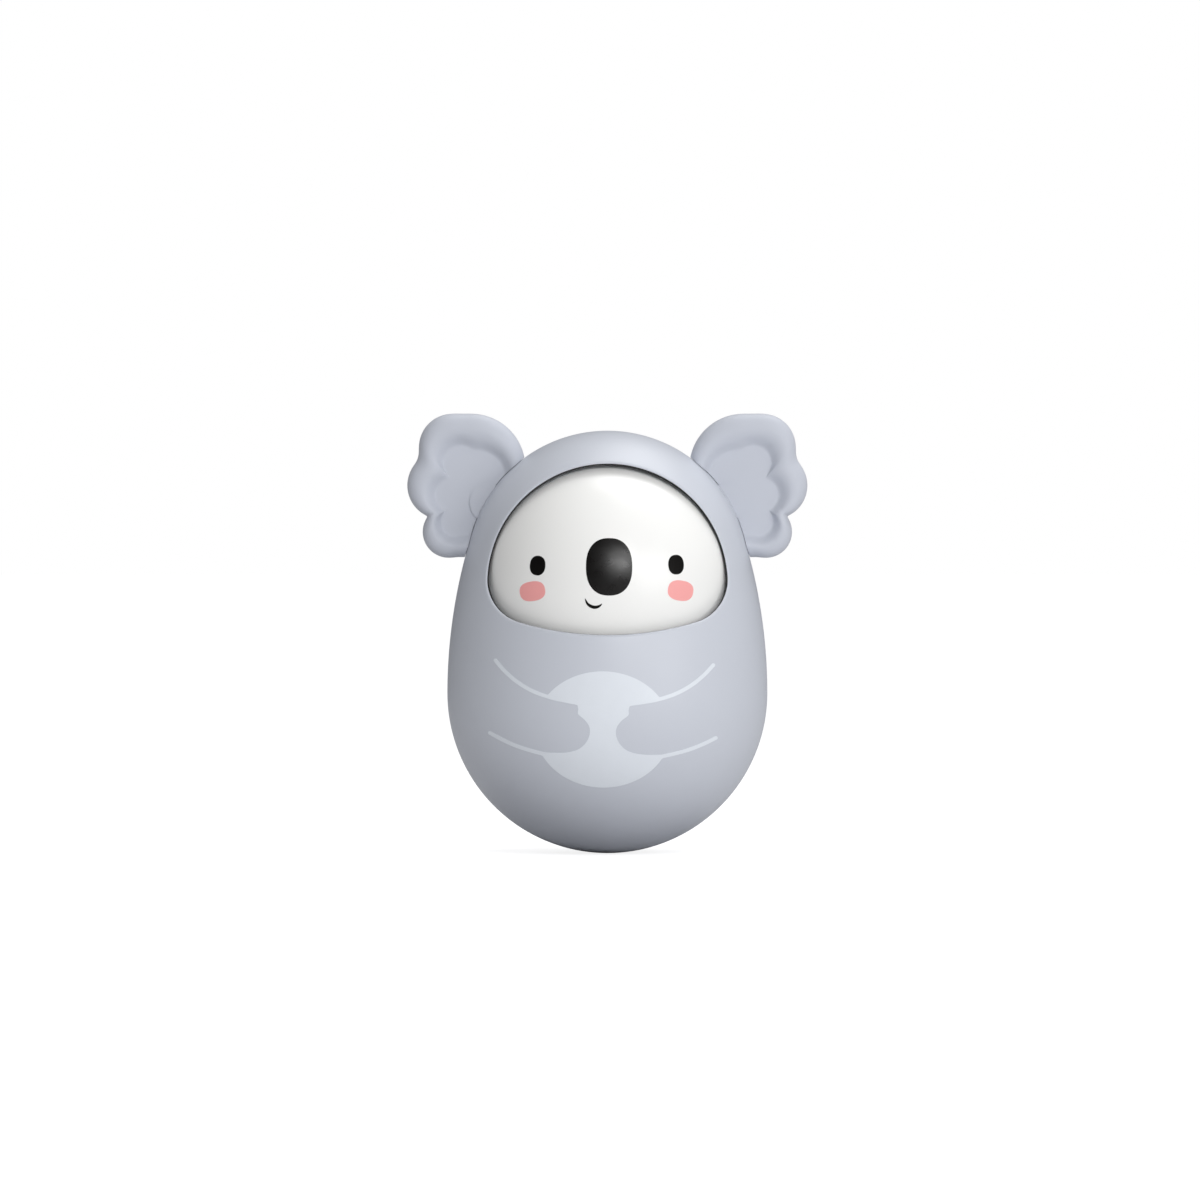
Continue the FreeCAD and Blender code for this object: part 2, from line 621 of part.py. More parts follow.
# The rounded lip of the opening.
lip_edges = edges_on(front_open, Part.Shell(body_outside.Shape.Faces), Part.Shell(opening.Shape.Faces))
front_lip = doc.addObject("Part::Fillet", "front_lip")
front_lip.Base = front_open
lip_radius = min(size("lip_round"), size("shell_wall") / 2)
front_lip.Edges = [(number, lip_radius, lip_radius) for number in lip_edges]
ball = {"y": HEAD_Y, "z": "sizes.head_z"}
front_shell = cut_each(
    "front_shell", front_lip,
    holes=fuse("front_holes", *front_holes), slots=fuse("front_slots", *ear_slots),
    ball=sphere("hood_relief", "sizes.head_radius + sizes.head_gap", **ball))
keep(front_shell, "front_shell")
keep(group("shell_screws_group", *shell_screws), "shell_screws")

# ----------------------------------------------------------------------------------------------
# The ears: three puffy lobes, hollowed in front, on a neck with a flange inside the wall
# ----------------------------------------------------------------------------------------------

ear_seat = egg("ear_seat", "-sizes.ear_gap")
flange_outside = egg("flange_outside", "sizes.shell_wall + sizes.ear_gap")
flange_inside = egg("flange_inside", "sizes.shell_wall + sizes.ear_gap + sizes.ear_flange_thickness")
flange_layer = cut("flange_layer", flange_outside, flange_inside)


def lobe(name, sign, spot):
    """A round disc whose edge is a half round."""
    radius = f"sizes.ear_{spot}_radius"
    roll = f"min(sizes.ear_thickness / 2; {radius} * 0.45)"
    place = {"x": f"{sign} * sizes.ear_{spot}_x", "z": f"sizes.ear_{spot}_z"}
    rim = doc.addObject("Part::Torus", f"{name}_rim")
    bind(rim, Radius1=f"{radius} - {roll}", Radius2=roll)
    put(rim, along="Y", **place)
    middle = cylinder(f"{name}_middle", f"{radius} - {roll}", f"2 * {roll}", "Y", y=f"-{roll}", **place)
    return fuse(name, rim, middle)


def hollow(name, sign, spot):
    """A shallow round hollow with a sloping wall, in the front face of the ear."""
    item = doc.addObject("Part::Cone", name)
    mouth = "sizes.recess_slope"
    floor = f"sizes.recess_{spot}_radius"
    depth = "sizes.recess_depth"
    bind(item, Radius1=f"{floor} + 2 * {mouth}", Radius2=floor, Height=f"2 * {depth}")
    return put(item, along="Y", x=f"{sign} * sizes.recess_{spot}_x", z=f"sizes.recess_{spot}_z",
               y=f"-sizes.ear_thickness / 2 - {depth}")


def ear(side):
    sign = SIDES[side]
    lobes = [lobe(f"{side}_{spot}_lobe", sign, spot) for spot in ("upper", "outer", "lower")]
    hollows = [hollow(f"{side}_{spot}_hollow", sign, spot) for spot in ("upper", "outer", "lower", "root")]
    blade = cut_each(
        f"{side}_blade", fuse(f"{side}_lobes", *lobes),
        seat=ear_seat, hollow=fuse(f"{side}_hollows", *hollows))
    neck = cut(
        f"{side}_neck", ear_disc(f"{side}_neck_disc", side, "sizes.ear_neck_radius",
                                 "sizes.ear_neck_thickness"), flange_inside)
    flange = common(
        f"{side}_flange", ear_disc(f"{side}_flange_disc", side, "sizes.ear_flange_radius",
                                   "sizes.ear_flange_width"), flange_layer)
    return fuse(f"{side}_ear_whole", blade, neck, flange)


for side in SIDES:
    keep(ear(side), f"{side}_ear")

# ----------------------------------------------------------------------------------------------
# The face ball
# ----------------------------------------------------------------------------------------------

head_cut_level = "(sizes.head_z - sizes.head_cut)"
head_solid = cut(
    "head_solid", sphere("head_ball", "sizes.head_radius", **ball),
    block("head_cut_space", (FAR, FAR, FAR), z=f"{head_cut_level} - {FAR} / 2"))
head_mid_wall = common(
    "head_mid_wall", sphere("head_mid_ball", "sizes.head_radius - sizes.head_wall / 2", **ball), head_solid)
head_wall = cut("head_wall", head_solid, sphere("head_hollow", "sizes.head_radius - sizes.head_wall", **ball))
head_front_space = block("head_front_space", (FAR, FAR, FAR), y=f"{HEAD_Y} - {FAR} / 2")
head_rear_space = block("head_rear_space", (FAR, FAR, FAR), y=f"{HEAD_Y} + {FAR} / 2")

head_reach = "(sizes.head_radius - sizes.head_wall - sizes.head_boss_radius + sizes.boss_overlap)"
head_screw_levels = {
    "high": (f"{head_reach} * cos(sizes.head_screw_high)",
             f"sizes.head_z + {head_reach} * sin(sizes.head_screw_high)"),
    "low": (f"{head_reach} * cos(sizes.head_screw_low)",
            f"sizes.head_z - {head_reach} * sin(sizes.head_screw_low)"),
}
head_pilot = "(sizes.screw_length - sizes.head_screw_seat + sizes.screw_gap)"
head_work_parts = []
head_rear_holes = []
head_front_holes = []
head_screws = []
for level, (screw_x, screw_z) in head_screw_levels.items():
    for side, sign in SIDES.items():
        name = f"head_{level}_{side}"
        spot = {"x": f"{sign} * {screw_x}", "z": screw_z}
        head_work_parts.append(cylinder(
            f"boss_{name}", "sizes.head_boss_radius", "sizes.head_boss_depth + sizes.head_radius",
            "Y", y=f"{HEAD_Y} - sizes.head_boss_depth", **spot))
        head_rear_holes.append(cylinder(
            f"counterbore_{name}", "sizes.screw_head_radius + sizes.screw_gap", "sizes.head_radius",
            "Y", y=f"{HEAD_Y} + sizes.head_screw_seat", **spot))
        head_rear_holes.append(cylinder(
            f"passage_{name}", "sizes.screw_radius + sizes.screw_gap", "2 * sizes.head_screw_seat",
            "Y", y=f"{HEAD_Y} - sizes.head_screw_seat", **spot))
        head_front_holes.append(cylinder(
            f"pilot_{name}", "sizes.screw_radius", head_pilot, "Y", y=f"{HEAD_Y} - {head_pilot}", **spot))
        head_screws.append(screw(
            f"screw_{name}", "Y", y=f"{HEAD_Y} + sizes.head_screw_seat", **spot))

# Sockets that grip the axle, and the rib that holds the steel plate down.
socket_start = f"({FORK_OUTSIDE} + sizes.fork_side_gap)"
socket_length = f"(sizes.head_radius - {socket_start})"
for side, sign in SIDES.items():
    head_work_parts.append(cylinder(
        f"socket_{side}", "sizes.axle_boss_radius", socket_length, "X",
        x=f"{sign} * ({socket_start} + {socket_length} / 2) - {socket_length} / 2", **ball))
weight_bottom = "(sizes.head_weight_level + sizes.head_weight_thickness)"
weight_radius = (
    f"(sqrt((sizes.head_radius - sizes.head_wall) ^ 2 - {weight_bottom} ^ 2) - sizes.head_weight_gap)")
rib_bottom = "sizes.head_z - sizes.head_weight_level + sizes.head_weight_gap"
head_work_parts.append(cut(
    "head_rib",
    cylinder("head_rib_disc", "sizes.head_radius", "sizes.head_ledge_thickness", y=HEAD_Y, z=rib_bottom),
    cylinder("head_rib_hole", f"{weight_radius} - sizes.head_ledge", "sizes.head_ledge_thickness",
             y=HEAD_Y, z=rib_bottom)))
head_work = common("head_work", fuse("head_work_whole", *head_work_parts), head_mid_wall)
axle_bore = cylinder(
    "axle_bore", "sizes.axle_radius + sizes.grip_gap", "sizes.axle_length + 2 * sizes.axle_chamfer", "X",
    x="-sizes.axle_length / 2 - sizes.axle_chamfer", **ball)


def head_half(name, space, holes):
    whole = fuse(f"{name}_whole", common(f"{name}_wall", head_wall, space),
                 common(f"{name}_work", head_work, space))
    return cut_each(name, whole, bore=axle_bore, holes=fuse(f"{name}_holes", *holes))


keep(head_half("head_front", head_front_space, head_front_holes), "head_front")
keep(head_half("head_rear", head_rear_space, head_rear_holes), "head_rear")
keep(group("head_screws_group", *head_screws), "head_screws")

# The steel plate: its slot runs along the post and stops the nod at both ends.
slot_front = ("((sizes.post_radius + " + weight_bottom + " * sin(sizes.nod_down)) / cos(sizes.nod_down)"
              " + sizes.stop_gap)")
slot_back = slot_front.replace("nod_down", "nod_up")
head_weight = cut(
    "head_weight_cut",
    cylinder("head_weight_disc", weight_radius, "sizes.head_weight_thickness",
             y=HEAD_Y, z=f"sizes.head_z - {weight_bottom}"),
    slab("head_weight_slot",
         ("2 * (sizes.post_radius + 2 * sizes.stop_gap)", f"{slot_front} + {slot_back}",
          "sizes.head_weight_thickness"),
         f"sizes.head_z - {weight_bottom}", y=f"{HEAD_Y} + ({slot_back} - {slot_front}) / 2"))
keep(head_weight, "head_weight")

# ----------------------------------------------------------------------------------------------
# The axle, the fork and the neck post
# ----------------------------------------------------------------------------------------------

half_axle = "sizes.axle_length / 2"
axle_end = "sizes.axle_radius - sizes.axle_chamfer"
nod_axle = turned("nod_axle_turned", (
    ("0", f"-{half_axle}"),
    (axle_end, f"-{half_axle}"),
    ("sizes.axle_radius", f"-{half_axle} + sizes.axle_chamfer"),
    ("sizes.axle_radius", f"{half_axle} - sizes.axle_chamfer"),
    (axle_end, half_axle),
    ("0", half_axle),
))
keep(put(nod_axle, along="X", **ball), "nod_axle")


def sector(name, radius, height, angle, bottom):
    """A slice of a disc, centred on the rear side of the post."""
    item = cylinder(name, radius, height, angle=angle, y=HEAD_Y, z=bottom)
    item.Placement = FreeCAD.Placement(Vector(), Rotation(Vector(0, 0, 1), 90))
    item.setExpression(".Placement.Rotation.Angle", f"90 - ({angle}) / 2")
    return item


fork_parts = [
    cylinder("fork_base", "sizes.fork_base_radius", "sizes.fork_base_thickness", y=HEAD_Y, z=FORK_BOTTOM),
    cut("fork_lug",
        sector("fork_lug_slice", "sizes.collar_radius", "sizes.lug_height", "sizes.lug_angle",
               f"{FORK_BOTTOM} - sizes.lug_height"),
        cylinder("fork_lug_inside", "sizes.post_radius + sizes.stop_gap", "sizes.lug_height",
                 y=HEAD_Y, z=f"{FORK_BOTTOM} - sizes.lug_height")),
]
arm_centre = f"(sizes.fork_inside / 2 + sizes.fork_arm / 2)"
for side, sign in SIDES.items():
    fork_parts.append(slab(
        f"fork_arm_{side}", ("sizes.fork_arm", "sizes.fork_arm_width", "sizes.fork_drop"),
        FORK_BOTTOM, x=f"{sign} * {arm_centre}", y=HEAD_Y))
    fork_parts.append(cylinder(
        f"fork_eye_{side}", "sizes.fork_arm_width / 2", "sizes.fork_arm", "X",
        x=f"{sign} * {arm_centre} - sizes.fork_arm / 2", **ball))
fork = cut_each(
    "fork", fuse("fork_whole", *fork_parts),
    bore=cylinder("fork_bore", "sizes.spigot_radius + sizes.running_gap",
                  "sizes.fork_base_thickness", y=HEAD_Y, z=FORK_BOTTOM),
    eyes=cylinder("fork_eyes", "sizes.axle_radius + sizes.running_gap", f"2 * {FORK_OUTSIDE}", "X",
                  x=f"-{FORK_OUTSIDE}", **ball))
keep(fork, "swivel_yoke")

collar_top = f"({FORK_BOTTOM} - sizes.fork_play / 2)"
spigot_top = f"({FORK_BASE_TOP} + sizes.fork_play / 2)"
post_pilot_top = f"({DECK_BOTTOM} + sizes.screw_length + sizes.screw_gap)"
post_turned = turned("neck_post_turned", (
    ("0", post_pilot_top),
    ("sizes.screw_radius", post_pilot_top),
    ("sizes.screw_radius", DECK_TOP),
    ("sizes.post_flange_radius", DECK_TOP),
    ("sizes.post_flange_radius", f"{DECK_TOP} + sizes.post_flange_height"),
    ("sizes.post_radius", f"{DECK_TOP} + sizes.post_flange_height"),
    ("sizes.post_radius", f"{collar_top} - sizes.collar_height"),
    ("sizes.collar_radius", f"{collar_top} - sizes.collar_height"),
    ("sizes.collar_radius", collar_top),
    ("sizes.spigot_radius", collar_top),
    ("sizes.spigot_radius", spigot_top),
    ("sizes.screw_radius", spigot_top),
    ("sizes.screw_radius", f"{spigot_top} - sizes.screw_length"),
    ("0", f"{spigot_top} - sizes.screw_length"),
))
put(post_turned, y=HEAD_Y)
collar_gap = cut(
    "collar_gap",
    sector("collar_gap_slice", "sizes.collar_radius * 1.2", "sizes.collar_height",
           "sizes.lug_angle + 2 * (sizes.turn_limit + sizes.turn_stop_gap)",
           f"{collar_top} - sizes.collar_height"),
    cylinder("collar_gap_core", "sizes.post_radius", "sizes.collar_height",
             y=HEAD_Y, z=f"{collar_top} - sizes.collar_height"))
post_peg = cylinder("post_peg", "sizes.peg_radius", "sizes.peg_length + sizes.post_flange_height",
                    x="sizes.peg_place", y=HEAD_Y, z=f"{DECK_TOP} - sizes.peg_length")
keep(fuse("neck_post_whole", cut("neck_post_cut", post_turned, collar_gap), post_peg), "neck_post")

washer_top = f"{spigot_top} + sizes.washer_thickness"
swivel_washer = ring(
    "swivel_washer_ring", "sizes.screw_radius + sizes.screw_gap", "sizes.washer_radius",
    spigot_top, "sizes.washer_thickness")
keep(put(swivel_washer, y=HEAD_Y), "swivel_washer")
keep(screw("swivel_screw_cut", "Z", y=HEAD_Y, z=washer_top), "swivel_screw")

# ----------------------------------------------------------------------------------------------
# The ballast, the frame and the deck
# ----------------------------------------------------------------------------------------------

THREE_WAYS = (30, 150, 270)
frame_screw_bottom = "(sizes.ballast_top + sizes.frame_foot_thickness)"


def on_pillar_circle(angle):
    return {"x": f"sizes.pillar_circle * cos({angle})", "y": f"sizes.pillar_circle * sin({angle})"}


ballast_holes = []
foot_holes = []
pillars = []
pillar_pilots = []
deck_passages = []
ballast_screws = []
deck_screws = []
for angle in THREE_WAYS:
    between = on_pillar_circle(angle + 60)
    beside = on_pillar_circle(angle)
    reach = "(sizes.ballast_screw_length - sizes.frame_foot_thickness)"
    ballast_holes.append(cylinder(
        f"ballast_hole_{angle}", "sizes.screw_radius", reach,
        z=f"sizes.ballast_top - {reach}", **between))
    foot_holes.append(cylinder(
        f"foot_hole_{angle}", "sizes.screw_radius + sizes.screw_gap", "sizes.frame_foot_thickness",
        z="sizes.ballast_top", **between))
    ballast_screws.append(screw(
        f"ballast_screw_{angle}", "Z", z=frame_screw_bottom, length="sizes.ballast_screw_length", **between))
    pillars.append(cylinder(
        f"pillar_{angle}", "sizes.pillar_radius", "sizes.frame_height", z="sizes.ballast_top", **beside))
    reach = "(sizes.screw_length - sizes.deck_thickness + sizes.screw_gap)"
    pillar_pilots.append(cylinder(
        f"pillar_pilot_{angle}", "sizes.screw_radius", reach, z=f"{DECK_BOTTOM} - {reach}", **beside))
    deck_passages.append(cylinder(
        f"deck_passage_{angle}", "sizes.screw_radius + sizes.screw_gap", "sizes.deck_thickness",
        z=DECK_BOTTOM, **beside))
    deck_screws.append(screw(f"deck_screw_{angle}", "Z", z=DECK_TOP, **beside))

ballast_ball = sphere("ballast_ball", f"{INSIDE_RADIUS} - sizes.ballast_gap", z=BASE_RADIUS)
ballast_slab = slab("ballast_slab", ("sizes.body_diameter", f"sizes.ballast_flat + {BASE_RADIUS}",
                                     "sizes.ballast_top"),
                    "0", y=f"({BASE_RADIUS} - sizes.ballast_flat) / 2")
ballast = cut("ballast_cut", common("ballast_cap", ballast_ball, ballast_slab),
              fuse("ballast_holes", *ballast_holes))
keep(ballast, "ballast_weight")
keep(group("ballast_screws_group", *ballast_screws), "ballast_screws")

foot = ring("frame_foot", "sizes.frame_foot_inside", "sizes.frame_foot_radius",
            "sizes.ballast_top", "sizes.frame_foot_thickness")
base_frame = cut_each(
    "base_frame", fuse("base_frame_whole", foot, *pillars),
    holes=fuse("foot_holes", *foot_holes), pilots=fuse("pillar_pilots", *pillar_pilots))
keep(base_frame, "base_frame")


def deck_body():
    """The deck: a disc with lightening holes, a hole for the bolt and notches for the ribs."""
    body = doc.addObject("PartDesign::Body", "deck_body")
    plane = next(item for item in body.Origin.OriginFeatures if item.Role == "XY_Plane")

    def circle_sketch(name, radius, across="0"):
        outline = body.newObject("Sketcher::SketchObject", name)
        outline.AttachmentSupport = [(plane, "")]
        outline.MapMode = "FlatFace"
        outline.addGeometry(Part.Circle(Vector(1, 1, 0), Vector(0, 0, 1), 5))
        dimension(outline, (
            ("radius", ("Radius", 0, 5.0), radius),
            ("across", ("DistanceX", -1, 1, 0, 3, 1.0), across),
            ("along", ("DistanceY", -1, 1, 0, 3, 1.0), "0"),
        ))
        return outline

    disc = body.newObject("PartDesign::Pad", "deck_disc")
    disc.Profile = circle_sketch("deck_outline", DECK_RADIUS)
    bind(disc, Length="sizes.deck_thickness")
    hole = body.newObject("PartDesign::Pocket", "deck_hole")
    hole.Profile = circle_sketch("deck_hole_outline", "sizes.deck_hole_radius", "sizes.deck_hole_circle")
    hole.Reversed = True
    bind(hole, Length="sizes.deck_thickness")
    holes = body.newObject("PartDesign::PolarPattern", "deck_holes")
    holes.Originals = [hole]
    holes.Axis = (next(item for item in body.Origin.OriginFeatures if item.Role == "Z_Axis"), [""])
    holes.Angle = 360
    holes.Occurrences = 6
    body.Tip = holes
    return put(body, z=DECK_BOTTOM)


notches = [
    slab(f"notch_{side}",
         ("2 * (sizes.key_depth + sizes.ledge_gap)", "sizes.key_width + 2 * sizes.ledge_gap",
          "sizes.deck_thickness"),
         DECK_BOTTOM, x=f"{sign} * {DECK_RADIUS}")
    for side, sign in SIDES.items()
]
deck_passages += [
    cylinder("deck_bolt_hole", "sizes.bolt_radius + sizes.screw_gap", "sizes.deck_thickness",
             y=BELL_Y, z=DECK_BOTTOM),
    cylinder("deck_post_hole", "sizes.screw_radius + sizes.screw_gap", "sizes.deck_thickness",
             y=HEAD_Y, z=DECK_BOTTOM),
    cylinder("deck_peg_hole", "sizes.peg_radius + sizes.running_gap", "sizes.deck_thickness",
             x="sizes.peg_place", y=HEAD_Y, z=DECK_BOTTOM),
]
deck = cut_each(
    "deck", deck_body(), notches=fuse("deck_notches", *notches),
    passages=fuse("deck_passages", *deck_passages))
keep(deck, "deck")
keep(screw("post_screw_cut", "Z", y=HEAD_Y, z=DECK_BOTTOM, head_down=True), "post_screw")
keep(group("deck_screws_group", *deck_screws), "deck_screws")

# ----------------------------------------------------------------------------------------------
# The bell and its clapper
# ----------------------------------------------------------------------------------------------


bell_bottom = f"({BELL_TOP} - sizes.bell_height)"


def rounded_drum(name, radius, height, shoulder):
    """A drum that stands at the level of the bell's rim, with a rounded upper edge."""
    drum = cylinder(f"{name}_drum", radius, height, y=BELL_Y, z=bell_bottom)
    doc.recompute()
    top = drum.Shape.BoundBox.ZMax
    rounded = doc.addObject("Part::Fillet", name)
    rounded.Base = drum
    rounded.Edges = [
        (number, shoulder, shoulder) for number, edge in enumerate(drum.Shape.Edges, start=1)
        if edge.CenterOfMass.z > top - 1e-3
    ]
    return rounded


bell = cut_each(
    "bell",
    rounded_drum("bell_outside", "sizes.bell_radius", "sizes.bell_height", size("bell_shoulder")),
    inside=rounded_drum("bell_inside", "(sizes.bell_radius - sizes.bell_wall)",
                        "(sizes.bell_height - sizes.bell_wall)",
                        size("bell_shoulder") - size("bell_wall")),
    hole=cylinder("bell_hole", "sizes.bolt_radius + sizes.screw_gap", "sizes.bell_height",
                  y=BELL_Y, z=bell_bottom))
keep(bell, "bell_dome")
bell_washer = ring("bell_washer_ring", "sizes.bolt_radius + sizes.screw_gap", "sizes.bell_washer_radius",
                   BELL_TOP, "sizes.bell_washer_thickness")
keep(put(bell_washer, y=BELL_Y), "bell_washer")


def hinge_disc(name, along, level, thickness, middle="0"):
    """The round end of a tongue or cheek, about a pin along X or Y."""
    place = {"x": "0", "y": BELL_Y, "z": level}
    place[along.lower()] += f" + {middle} - ({thickness}) / 2"
    return cylinder(name, "sizes.tongue_round", thickness, along, **place)


def tongue_on(name, along, top, pin_level):
    """A flat tongue that hangs from the level top and ends round below its pin."""
    lengths = {"X": "2 * sizes.tongue_round", "Y": "2 * sizes.tongue_round"}
    lengths[along] = "sizes.tongue_plate"
    height = f"({top} - {pin_level})"
    plate = slab(f"{name}_plate", (lengths["X"], lengths["Y"], height), pin_level, y=BELL_Y)
    return [plate, hinge_disc(f"{name}_end", along, pin_level, "sizes.tongue_plate")]


cheek_middle = "(sizes.tongue_plate / 2 + sizes.cheek_gap + sizes.cheek_thickness / 2)"
cheeks_outside = f"(2 * {cheek_middle} + sizes.cheek_thickness)"


def cheeks_on(name, along, pin_level):
    """Two cheeks that stand up from a bridge and hold a tongue between them."""
    bridge_top = f"({pin_level} - {HINGE_ROOM})"
    parts = []
    for side, sign in SIDES.items():
        middle = f"{sign} * {cheek_middle}"
        lengths = {"X": "2 * sizes.tongue_round", "Y": "2 * sizes.tongue_round"}
        lengths[along] = "sizes.cheek_thickness"
        place = {"x": "0", "y": BELL_Y}
        place[along.lower()] += f" + {middle}"
        cheek = (lengths["X"], lengths["Y"], HINGE_ROOM)
        parts.append(slab(f"{name}_cheek_{side}", cheek, bridge_top, **place))
        parts.append(hinge_disc(f"{name}_round_{side}", along, pin_level, "sizes.cheek_thickness", middle))
    lengths = {"X": "2 * sizes.tongue_round", "Y": "2 * sizes.tongue_round"}
    lengths[along] = cheeks_outside
    parts.append(slab(f"{name}_bridge", (lengths["X"], lengths["Y"], "sizes.bridge_thickness"),
                      f"{bridge_top} - sizes.bridge_thickness", y=BELL_Y))
    return parts


def pin_hole(name, along, level, clearance):
    place = {"x": "0", "y": BELL_Y, "z": level}
    place[along.lower()] += f" - {cheeks_outside}"
    return cylinder(name, f"sizes.pin_radius + {clearance}", f"2 * {cheeks_outside}", along, **place)


def rivet(name, along, level):
    """A pin with a flat head at each end."""
    half = f"({cheeks_outside} / 2)"
    head_radius = "sizes.pin_radius * 1.6"
    head_height = "sizes.cheek_thickness / 2"
    inner = f"({half} + sizes.running_gap)"
    outer = f"({inner} + {head_height})"
    body = turned(name, (
        ("0", f"-{outer}"),
        (head_radius, f"-{outer}"),
        (head_radius, f"-{inner}"),
        ("sizes.pin_radius", f"-{inner}"),
        ("sizes.pin_radius", inner),
        (head_radius, inner),
        (head_radius, outer),
        ("0", outer),
    ))
    return put(body, along=along, y=BELL_Y, z=level)


bolt_top = f"({DECK_TOP} + sizes.nut_height + sizes.bolt_rest)"
eye_bolt = cut(
    "eye_bolt_cut",
    fuse("eye_bolt_whole",
         cylinder("eye_bolt_rod", "sizes.bolt_radius", f"{bolt_top} - {BOLT_HEAD_TOP}",
                  y=BELL_Y, z=BOLT_HEAD_TOP),
         cylinder("eye_bolt_head", "sizes.bolt_head_radius", "sizes.bolt_head_height",
                  y=BELL_Y, z=BOLT_HEAD_BOTTOM),
         *tongue_on("bolt_tongue", "X", BOLT_HEAD_BOTTOM, LINK_PIN_Z)),
    pin_hole("bolt_pin_hole", "X", LINK_PIN_Z, "sizes.grip_gap"))
keep(eye_bolt, "eye_bolt")
bolt_nut = doc.addObject("Part::Prism", "bolt_nut_prism")
bolt_nut.Polygon = 6
bind(bolt_nut, Circumradius="sizes.nut_width / sqrt(3)", Height="sizes.nut_height")
put(bolt_nut, y=BELL_Y, z=DECK_TOP)
nut_hole = cylinder("nut_hole", "sizes.bolt_radius", "sizes.nut_height", y=BELL_Y, z=DECK_TOP)
keep(cut("bolt_nut_cut", bolt_nut, nut_hole), "bolt_nut")
keep(rivet("link_pin_turned", "X", LINK_PIN_Z), "link_pin")

link_bridge_bottom = f"({LINK_PIN_Z} - {HINGE_ROOM} - sizes.bridge_thickness)"
clapper_link = cut_each(
    "clapper_link",
    fuse("clapper_link_whole", *cheeks_on("link", "X", LINK_PIN_Z),
         *tongue_on("link_tongue", "Y", link_bridge_bottom, CLAPPER_PIN_Z)),
    upper=pin_hole("link_upper_hole", "X", LINK_PIN_Z, "sizes.running_gap"),
    lower=pin_hole("link_lower_hole", "Y", CLAPPER_PIN_Z, "sizes.grip_gap"))
keep(clapper_link, "clapper_link")
keep(rivet("clapper_pin_turned", "Y", CLAPPER_PIN_Z), "clapper_pin")

clapper_bridge_bottom = f"({CLAPPER_PIN_Z} - {HINGE_ROOM} - sizes.bridge_thickness)"
clapper = cut(
    "clapper_cut",
    fuse("clapper_whole", *cheeks_on("clapper", "Y", CLAPPER_PIN_Z),
         cylinder("clapper_rod", "sizes.clapper_rod_radius", f"{clapper_bridge_bottom} - {CLAPPER_BALL_Z}",
                  y=BELL_Y, z=CLAPPER_BALL_Z),
         sphere("clapper_ball", "sizes.clapper_radius", y=BELL_Y, z=CLAPPER_BALL_Z)),
    pin_hole("clapper_hole", "Y", CLAPPER_PIN_Z, "sizes.running_gap"))
keep(clapper, "clapper")

# ----------------------------------------------------------------------------------------------
# Check the whole document, then write one file for each piece
# ----------------------------------------------------------------------------------------------

doc.recompute()
for item in doc.Objects:
    if {"Invalid", "Error"} & set(item.State):
        raise RuntimeError(f"{item.Name} failed: {item.State}")
for item in pieces:
    if item.Shape.isNull() or not item.Shape.isValid():
        raise RuntimeError(f"{item.Label} has no sound shape")

os.makedirs("parts", exist_ok=True)
for item in pieces:
    item.Shape.exportStep(f"parts/{item.Label}.step")
    box = item.Shape.BoundBox
    print(f"{item.Label:16s} {len(item.Shape.Solids)} solids, {item.Shape.Volume / 1000:8.3f} cm3,"
          f" x {box.XMin:.1f} to {box.XMax:.1f}, y {box.YMin:.1f} to {box.YMax:.1f},"
          f" z {box.ZMin:.1f} to {box.ZMax:.1f}")
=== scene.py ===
"""A roly poly toy: an egg-shaped tumbler with two soft ears and a ball head in a hood.

The moulded shells, the ears and the face half of the ball are modelled here, with the prints on
them. The rear half of the ball and everything inside the body come from the frame.
"""

import json
import math
from functools import cache

import bpy
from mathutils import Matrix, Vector


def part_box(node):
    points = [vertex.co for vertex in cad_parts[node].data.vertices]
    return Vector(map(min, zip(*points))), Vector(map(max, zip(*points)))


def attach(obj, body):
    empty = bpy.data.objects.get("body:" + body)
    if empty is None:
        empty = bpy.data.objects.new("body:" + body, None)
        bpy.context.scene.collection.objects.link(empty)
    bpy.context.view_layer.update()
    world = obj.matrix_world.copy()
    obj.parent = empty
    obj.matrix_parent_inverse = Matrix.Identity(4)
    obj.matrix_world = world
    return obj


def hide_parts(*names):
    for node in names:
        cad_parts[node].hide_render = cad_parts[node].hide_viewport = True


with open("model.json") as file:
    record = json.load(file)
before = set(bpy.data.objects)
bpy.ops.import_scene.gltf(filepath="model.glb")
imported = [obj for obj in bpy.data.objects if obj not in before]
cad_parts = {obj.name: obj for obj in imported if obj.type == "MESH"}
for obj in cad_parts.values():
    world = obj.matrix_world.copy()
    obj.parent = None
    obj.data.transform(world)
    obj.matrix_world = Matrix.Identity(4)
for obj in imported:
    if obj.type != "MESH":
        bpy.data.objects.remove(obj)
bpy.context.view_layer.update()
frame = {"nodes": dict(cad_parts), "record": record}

bl_info = {
    "name": "Roly Poly Toy",
    "version": (1, 0, 0),
    "blender": (4, 5, 0),
    "location": "3D View > Sidebar > Toy",
    "description": "Builds a weighted tumbler toy with printed decoration around its frame",
    "category": "Add Mesh",
}

MM = 0.001


# ---------------------------------------------------------------------------------------------
# Sizes and colours that a user would change
# ---------------------------------------------------------------------------------------------


def length(name, description, millimetres):
    """A size, written in millimetres and kept in metres."""
    return bpy.props.FloatProperty(
        name=name, description=description, default=millimetres * MM, unit="LENGTH", precision=5)


def colour(name, description, hex_code):
    """An sRGB hex colour, kept as linear light."""
    channels = [int(hex_code[start:start + 2], 16) / 255 for start in (0, 2, 4)]
    linear = [c / 12.92 if c <= 0.04045 else ((c + 0.055) / 1.055) ** 2.4 for c in channels]
    return bpy.props.FloatVectorProperty(
        name=name, description=description, default=linear, subtype="COLOR", size=3, min=0, max=1)


